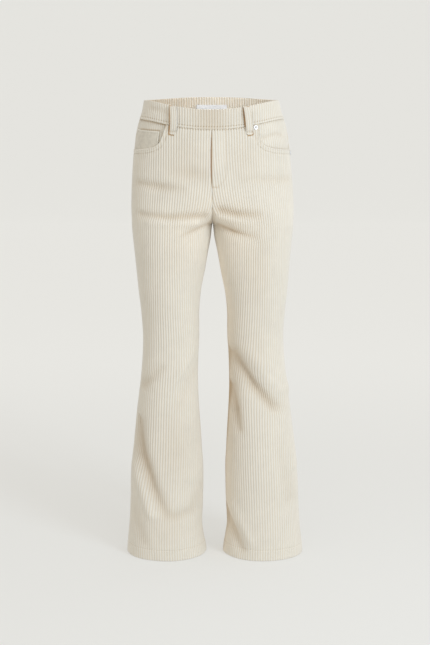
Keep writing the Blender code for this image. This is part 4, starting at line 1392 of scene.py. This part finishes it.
def makeLabel():
    across = np.linspace(-1, 1, 41)[None, :]
    down = np.linspace(-1, 1, 17)[:, None]
    narrowed = 1 - labelSize["corner"] * unit((np.abs(down) - 0.85) / 0.15) ** 2
    arc = across * narrowed * labelSize["width"] / 2
    drop = labelSize["drop"] + labelSize["height"] * (down + 1) / 2 + 0 * arc
    thinned = labelSize["edge"] * unit((np.abs(across) - 0.93) / 0.07)
    lift = -cut["bandWall"] - labelSize["gap"]
    outer = fromCentre(back, arc, drop, lift)
    inner = fromCentre(back, arc, drop, lift - labelSize["wall"] + thinned)
    weave = weaveOf(arc / cut["walePitch"], drop, 0.0)
    piece = closedSheet("label_cloth", outer, inner, weave, labelCloth, False)
    return finishCloth(piece, plainSharpest)


makeCoinPocket()
makePlacket()
labelPiece = makeLabel()
print("pocket pieces and label sewn")


# belt loops

def makeLoop(name, face, arc, lean, push):
    top, bottom = loopSpan(face, arc, lean)
    spans = (0, 0.02, 4), (0.02, 0.97, loop["rows"]), (0.975, 1, 6)
    share = np.unique(np.concatenate([np.linspace(*span) for span in spans]))[:, None]
    wales = np.linspace(-1.5, 1.5, 3 * loop["samplesPerWale"] + 1)[None, :]
    rounded = loop["roundEnd"] * (np.abs(wales) / 1.5) ** 4 * unit((share - 0.9) / 0.1)
    drop = top + share * (bottom - top) - rounded
    archShare = unit(share / loop["sewn"])
    arch = np.sin(math.pi * archShare) ** loop["arch"] * (archShare < 1)
    under = cut["waleHeight"] + cut["seamGap"] + loop["standOff"] * arch
    tackWidth, tackDepth, tackShade = loop["tackShape"]
    tack = bell(share - loop["tackAt"], tackWidth)
    folded = unit((share - loop["foldStarts"]) / 0.02)
    ending, starting = unit((share - 0.985) / 0.015), unit(1 - share / 0.02)
    edges = unit((np.abs(wales) - 1.28) / 0.22)
    relief = loop["relief"] * waleShape(wales + 0.5) * (1 - 0.5 * tack) * (1 - 0.75 * folded)
    bulge = loop["foldBulge"] * folded * np.sqrt(unit(1 - ending**2))
    thick = loop["wall"] + relief + bulge - tackDepth * tack
    thick = thick * (1 - 0.75 * edges**2) * (1 - 0.6 * ending**2) * (1 - 0.5 * starting**2)
    placed = arc + lean * (1 - share) + push * arch + wales / 3 * loop["width"] * (1 - 0.03 * tack)
    outer = fromCentre(face, placed, drop, under + thick)
    inner = fromCentre(face, placed, drop, under + 0 * placed)
    weave = weaveOf(wales + 0.5, drop, tackShade * tack)
    piece = closedSheet(name + "_cloth", outer, inner, weave, corduroy, face == front)
    return finishCloth(piece)


loopPieces = {row[0]: makeLoop(*row) for row in loops}
print("belt loops sewn")


# rivets

rivet = {
    "radius": 0.0050,
    "thick": 0.0006,
    "steps": (  # inset and rise of each ring towards the dark centre
        (0.0004, 0.0006), (0.0008, 0.0004), (0.0011, -0.0001), (0.0006, -0.0006), (0.0005, -0.0002),
    ),
    "reach": 0.1246,
    "underBand": 0.0053,
    "fromSeam": 0.0065,
    "underScoop": 0.0080,
    "nickel": (0.78, 0.79, 0.81),
    "centre": (0.16, 0.155, 0.15),
}


def metalMaterial(name, colour):
    net = Net(name, Metallic=1.0, Roughness=0.28, Base_Color=opaque(colour))
    marks = net.noise(net.place(), 900.0, 3.0)
    net.feed(Roughness=0.22 + marks * 0.16)
    net.feed(Normal=net.bump(marks, 0.00004, 0.5))
    return net.material


metals = metalMaterial("rivet_nickel", rivet["nickel"]), metalMaterial("rivet_centre", rivet["centre"])


def makeRivet(name, side, s, drop):
    seat = Vector(lifted(side, front, s, drop, cut["waleHeight"] + cut["seamGap"]))
    above = Vector(lifted(side, front, s, drop, 0.01))
    turn = Vector((0, 0, 1)).rotation_difference((above - seat).normalized())
    bpy.ops.object.select_all(action="DESELECT")
    bpy.ops.mesh.primitive_cylinder_add(
        vertices=40, radius=rivet["radius"], depth=rivet["thick"], location=(0, 0, rivet["thick"] / 2)
    )
    piece = bpy.context.object
    piece.name = piece.data.name = name + "_metal"
    bpy.ops.object.mode_set(mode="EDIT")
    pick(piece, "faces", lambda face: face.normal.z > 0.9)
    for inset, rise in rivet["steps"]:
        bpy.ops.mesh.inset(thickness=inset)
        bpy.ops.transform.translate(value=(0, 0, rise))
    bpy.ops.object.mode_set(mode="OBJECT")
    piece.data.transform(Matrix.Translation(seat) @ turn.to_matrix().to_4x4())
    piece.location = (0, 0, 0)
    for material in metals:
        piece.data.materials.append(material)
    sunk = [polygon.select for polygon in piece.data.polygons]  # the last inset is still selected
    piece.data.polygons.foreach_set("material_index", np.array(sunk, np.int32))
    sharpenEdges(piece, 50)
    finishPiece(piece, (name,))


sideSeam = float(seamAt(front, "side", cut["hipDrop"]))
cornerS = sideSeam - rivet["reach"]
makeRivet("rivet_pocket_left", left, cornerS, float(bandSeam(front, cornerS)) + rivet["underBand"])
makeRivet("rivet_seam_left", left, sideSeam - rivet["fromSeam"], scoop["drop"][0] + rivet["underScoop"])
print("rivets set")


# stitches

thread = {
    "length": 0.0040,
    "radius": 0.00034,
    "dips": ((0.2, 0.3), (0.4, 0.7)),  # how far along, and the share of the bend added there
    "bend": 0.00045,  # how far the ends dip
    "sunk": 0.00012,
    "tackStep": 0.0014,
    "tackLength": 0.0024,
    "labelStep": 0.003,
    "labelLength": 0.0022,
    "fromSeam": 0.003,
    "underBandLevel": 0.08,
    "scoopInset": 0.0036,  # of the line beside the scooped edge
    "scoopEnds": (0.002, 0.001),  # left out at the two ends of that edge
    "scoopSamples": 400,
    "scoopStart": 0.003,  # to the first stitch
    "flyTack": (0.003, 0.016),  # from the centre seam
    "bandWidthAt": 0.04,  # the drop at which a half's width is read
    "fromBandEnd": 0.004,
    "loopTack": (-0.0056, 0.0057),  # from the loop's middle
    "labelEnds": (0.002, 0.001),  # left free above and below
    "labelInset": 0.0015,
    "seamSearch": (0.004, -0.003),  # the lifts from which and towards which a stitch looks for the cloth
    "bandSearch": (0.004, -0.002),
    "loopSearch": (0.02, -0.002),
    "labelSearch": (-0.012, 0.0),
    "searchLength": 0.02,
}


# One stitch along X, of unit length, its ends dipped.
def modelStitch():
    bpy.ops.object.select_all(action="DESELECT")
    bpy.ops.mesh.primitive_uv_sphere_add(segments=6, ring_count=6, radius=0.5)
    stitch = bpy.context.object
    bpy.ops.object.mode_set(mode="EDIT")
    bpy.ops.mesh.select_all(action="SELECT")
    bpy.ops.transform.rotate(value=math.radians(90), orient_axis="Y", center_override=(0, 0, 0))
    slim = 2 * thread["radius"]
    bpy.ops.transform.resize(value=(1.0, slim, slim), center_override=(0, 0, 0))
    for beyond, dip in thread["dips"]:
        pick(stitch, "verts", lambda vertex: abs(vertex.co.x) > beyond)
        bpy.ops.transform.translate(value=(0, 0, -dip * thread["bend"]))
    bpy.ops.object.mode_set(mode="OBJECT")
    points = np.array([vertex.co for vertex in stitch.data.vertices])
    faces = [list(polygon.vertices) for polygon in stitch.data.polygons]
    bpy.data.objects.remove(stitch)
    return points, faces


stitchPoints, stitchFaces = modelStitch()


# Points above and below a line on the cloth, and the way the line runs.
def seamLine(side, face, s, drop):
    above, below = (lifted(side, face, s, drop, lift) for lift in thread["seamSearch"])
    return above, below, np.gradient(above, axis=0)


def bandLine(face, arc, drop, lifts=thread["bandSearch"]):
    above, below = (fromCentre(face, arc, drop, lift) for lift in lifts)
    return above, below, np.gradient(above, axis=0)


# The same places with the stitches turned across the line.
def tack(line):
    above, below, along = line
    return above, below, np.cross(above - below, along), thread["tackLength"]


# A copy of the stitch laid on the cloth's own surface at each place.
def sew(cloth, lines):
    corners, sides = [v.co for v in cloth.data.vertices], [p.vertices for p in cloth.data.polygons]
    tree = BVHTree.FromPolygons(corners, sides)
    points, faces = [], []
    for above, below, along, *length in lines:
        size = length[0] if length else thread["length"]
        for high, low, way in zip(above, below, along):
            hit = tree.ray_cast(Vector(high), Vector(low - high), thread["searchLength"])[0]
            if hit is None:
                continue
            up = (high - low) / np.linalg.norm(high - low)
            way = way - up * way.dot(up)
            way = way / np.linalg.norm(way)
            basis = np.stack([way * size, np.cross(up, way), up])
            start = len(points) * len(stitchPoints)
            points.append(np.array(hit) - up * thread["sunk"] + stitchPoints @ basis)
            faces += [[start + vertex for vertex in face] for face in stitchFaces]
    name = cloth.name.replace("_cloth", "_stitches")
    finishPiece(newPiece(name, np.concatenate(points), faces, materials=(threadLook,)))


def crests(start, end, shift=0.0):
    pitch = cut["walePitch"]
    first, last = math.ceil(start / pitch - shift), math.floor(end / pitch - shift)
    return (np.arange(first, last + 1) + shift) * pitch


def crestsAcross(face, drop):
    start, end = (float(seamAt(face, which, drop)) for which in ("centre", "side"))
    return crests(start + thread["fromSeam"], end - thread["fromSeam"])


# Even steps along a line inside the scooped edge.
def alongScoop(side, inset):
    first, last = thread["scoopEnds"]
    s, drop = scoopLine(side, np.linspace(first, scoopCorner - last, thread["scoopSamples"]))
    ds, dd = np.gradient(s), np.gradient(drop)
    length = np.hypot(ds, dd)
    s, drop = s + inset * dd / length, drop - inset * ds / length
    run = np.concatenate([[0.0], np.cumsum(np.hypot(np.diff(s), np.diff(drop)))])
    steps = np.arange(thread["scoopStart"], run[-1] - inset, panel["scoopStep"])
    return np.interp(steps, run, s), np.interp(steps, run, drop)


def sewPanel(side, face, cloth):
    s = crestsAcross(face, thread["underBandLevel"])
    drop = bandSeam(face, s) + cut["seamGap"] + panel["stitchUnderBand"]
    under = drop > panelTop(side, face, s)
    lines = [seamLine(side, face, s[under], drop[under])]
    s = crestsAcross(face, hemLine)
    lines.append(seamLine(side, face, s, np.full(s.shape, hemLine)))
    if face == front:
        for inset in (thread["scoopInset"], panel["stitchFromScoop"]):
            lines.append(seamLine(side, face, *alongScoop(side, inset)))
    if (side, face) == (left, front):
        start = float(seamAt(front, "centre", fly["tackDrop"]))
        s = start + np.arange(*thread["flyTack"], thread["tackStep"])
        lines.append(tack(seamLine(side, face, s, np.full(s.shape, fly["tackDrop"]))))
    sew(cloth, lines)


def sewBand(face, cloth):
    widthAt = thread["bandWidthAt"]
    reach = float(seamAt(face, "side", widthAt) - seamAt(face, "centre", widthAt)) - thread["fromBandEnd"]
    arc = crests(-reach, reach, 0.5)
    seamDrop = bandSeam(face, seamAt(face, "centre", band["level"]) + np.abs(arc))
    sew(cloth, [bandLine(face, arc, seamDrop - band["stitchAbove"])])


def sewLoop(name, face, arc, lean, _):
    top, bottom = loopSpan(face, arc, lean)
    across = arc + (1 - loop["tackAt"]) * lean + np.arange(*thread["loopTack"], thread["tackStep"])
    drop = np.full(across.shape, top + loop["tackAt"] * (bottom - top))
    sew(loopPieces[name], [tack(bandLine(face, across, drop, thread["loopSearch"]))])


def sewLabel():
    above, below = thread["labelEnds"]
    top, half = labelSize["drop"], labelSize["width"] / 2 - thread["labelInset"]
    down = np.arange(top + above, top + labelSize["height"] - below, thread["labelStep"])
    lines = [bandLine(back, np.full(down.shape, end * half), down, thread["labelSearch"]) for end in (-1, 1)]
    sew(labelPiece, [(*line, thread["labelLength"]) for line in lines])


for (side, face), cloth in panels.items():
    sewPanel(side, face, cloth)
for face, cloth in bands.items():
    sewBand(face, cloth)
for row in loops:
    sewLoop(*row)
sewLabel()
print("stitched")


# studio: camera, light and a seamless floor

studio = {
    "floorDrop": 1.0437,
    "floorSize": (30, 26),
    "floorShift": -3.0,
    "wallHeight": 6,
    "wallBend": 2.2,
    "paper": (0.40, 0.40, 0.39),
    "paperGlow": (1.0, 1.0, 0.972),  # a lit backdrop, so that shadows on it stay faint
    "glow": 0.396,
    "glowMore": 0.16,  # and more so behind the garment, over these two distances
    "glowFrom": (0.3, 2.4),
    "air": (1.0, 0.965, 0.90),
    "world": 0.750,
    "lights": (  # name, place, aim, size, power, colour
        ("key", (2.28, -2.72, 0.9), (0.0, 0.0, -0.5), (1.1, 1.4), 57.5, (0.78, 0.88, 1.0)),
        ("top", (0.4, -2.2, 2.4), (0.0, 0.0, -0.5), (2.0, 1.5), 8.0, (1.0, 1.0, 1.0)),
        ("inside", (0.02, -0.080, -0.060), (0.02, 0.1, -0.01), (0.08, 0.02), 0.125, (1.0, 0.99, 0.97)),
        ("between_high", (-0.012, -0.03, -0.44), (0.1, -0.03, -0.44), (0.03, 0.30), 0.014, (1.0, 0.78, 0.53)),
        ("crotch", (0.004, -0.190, -0.305), (0.004, -0.09, -0.278), (0.05, 0.03), 0.012, (1.0, 0.72, 0.44)),
        ("between_low", (-0.010, -0.03, -0.82), (0.1, -0.03, -0.82), (0.04, 0.42), 0.015, (1.0, 0.70, 0.40)),
    ),
    "cameraPlace": (0.0075, -3.0, 0.0183),
    "cameraTilt": 80.1664,
    "lens": 74.344,
    "sensor": 36.0,
}


def makeSweep():
    bpy.ops.object.select_all(action="DESELECT")
    bpy.ops.mesh.primitive_plane_add(size=1.0, location=(0, 0, -studio["floorDrop"]))
    sweep = bpy.context.object
    sweep.name = "studio_sweep"
    bpy.ops.object.mode_set(mode="EDIT")
    bpy.ops.mesh.select_all(action="SELECT")
    bpy.ops.transform.resize(value=(*studio["floorSize"], 1))
    bpy.ops.transform.translate(value=(0, studio["floorShift"], 0))
    wallStarts = studio["floorSize"][1] / 2 + studio["floorShift"] - 0.1
    pick(sweep, "edges", lambda edge: min(v.co.y for v in edge.verts) > wallStarts)
    bpy.ops.mesh.extrude_region_move(TRANSFORM_OT_translate={"value": (0, 0, studio["wallHeight"])})
    pick(sweep, "edges", lambda edge: all(abs(v.co.z) < 0.01 and v.co.y > wallStarts for v in edge.verts))
    bpy.ops.mesh.bevel(offset=studio["wallBend"], segments=24, affect="EDGES")
    bpy.ops.object.mode_set(mode="OBJECT")
    bpy.ops.object.transform_apply(location=True, rotation=True, scale=True)
    bpy.ops.object.shade_smooth()
    net = Net("studio_paper", Roughness=0.9, Base_Color=opaque(studio["paper"]),
              Emission_Strength=studio["glow"])
    away = net.split(net.place())[1].clipped(*studio["glowFrom"])
    net.feed(Emission_Color=net.shaded(studio["paperGlow"], 1.0 + away * studio["glowMore"]))
    sweep.data.materials.append(net.material)


def addLight(name, place, aim, size, power, colour):
    lamp = bpy.data.lights.new(name, "AREA")
    lamp.energy = power
    lamp.color = colour
    lamp.shape = "RECTANGLE"
    lamp.size, lamp.size_y = size
    thing = bpy.data.objects.new(name, lamp)
    bpy.context.scene.collection.objects.link(thing)
    thing.location = place
    thing.rotation_euler = (Vector(aim) - Vector(place)).to_track_quat("-Z", "Y").to_euler()
    thing.visible_camera = False


def lightAir():
    world = bpy.data.worlds.new("studio_air")
    bpy.context.scene.world = world
    world.use_nodes = True
    air = world.node_tree.nodes["Background"].inputs
    air["Color"].default_value = opaque(studio["air"])
    air["Strength"].default_value = studio["world"]
    bpy.context.scene.view_settings.view_transform = "Standard"


def placeCamera():
    camera = bpy.data.objects.new("camera", bpy.data.cameras.new("camera"))
    bpy.context.scene.collection.objects.link(camera)
    camera.location = studio["cameraPlace"]
    camera.rotation_euler = (math.radians(studio["cameraTilt"]), 0.0, 0.0)
    camera.data.lens = studio["lens"]
    camera.data.sensor_width = studio["sensor"]
    bpy.context.scene.camera = camera


makeSweep()
for light in studio["lights"]:
    addLight(*light)
lightAir()
placeCamera()
print("studio lit")
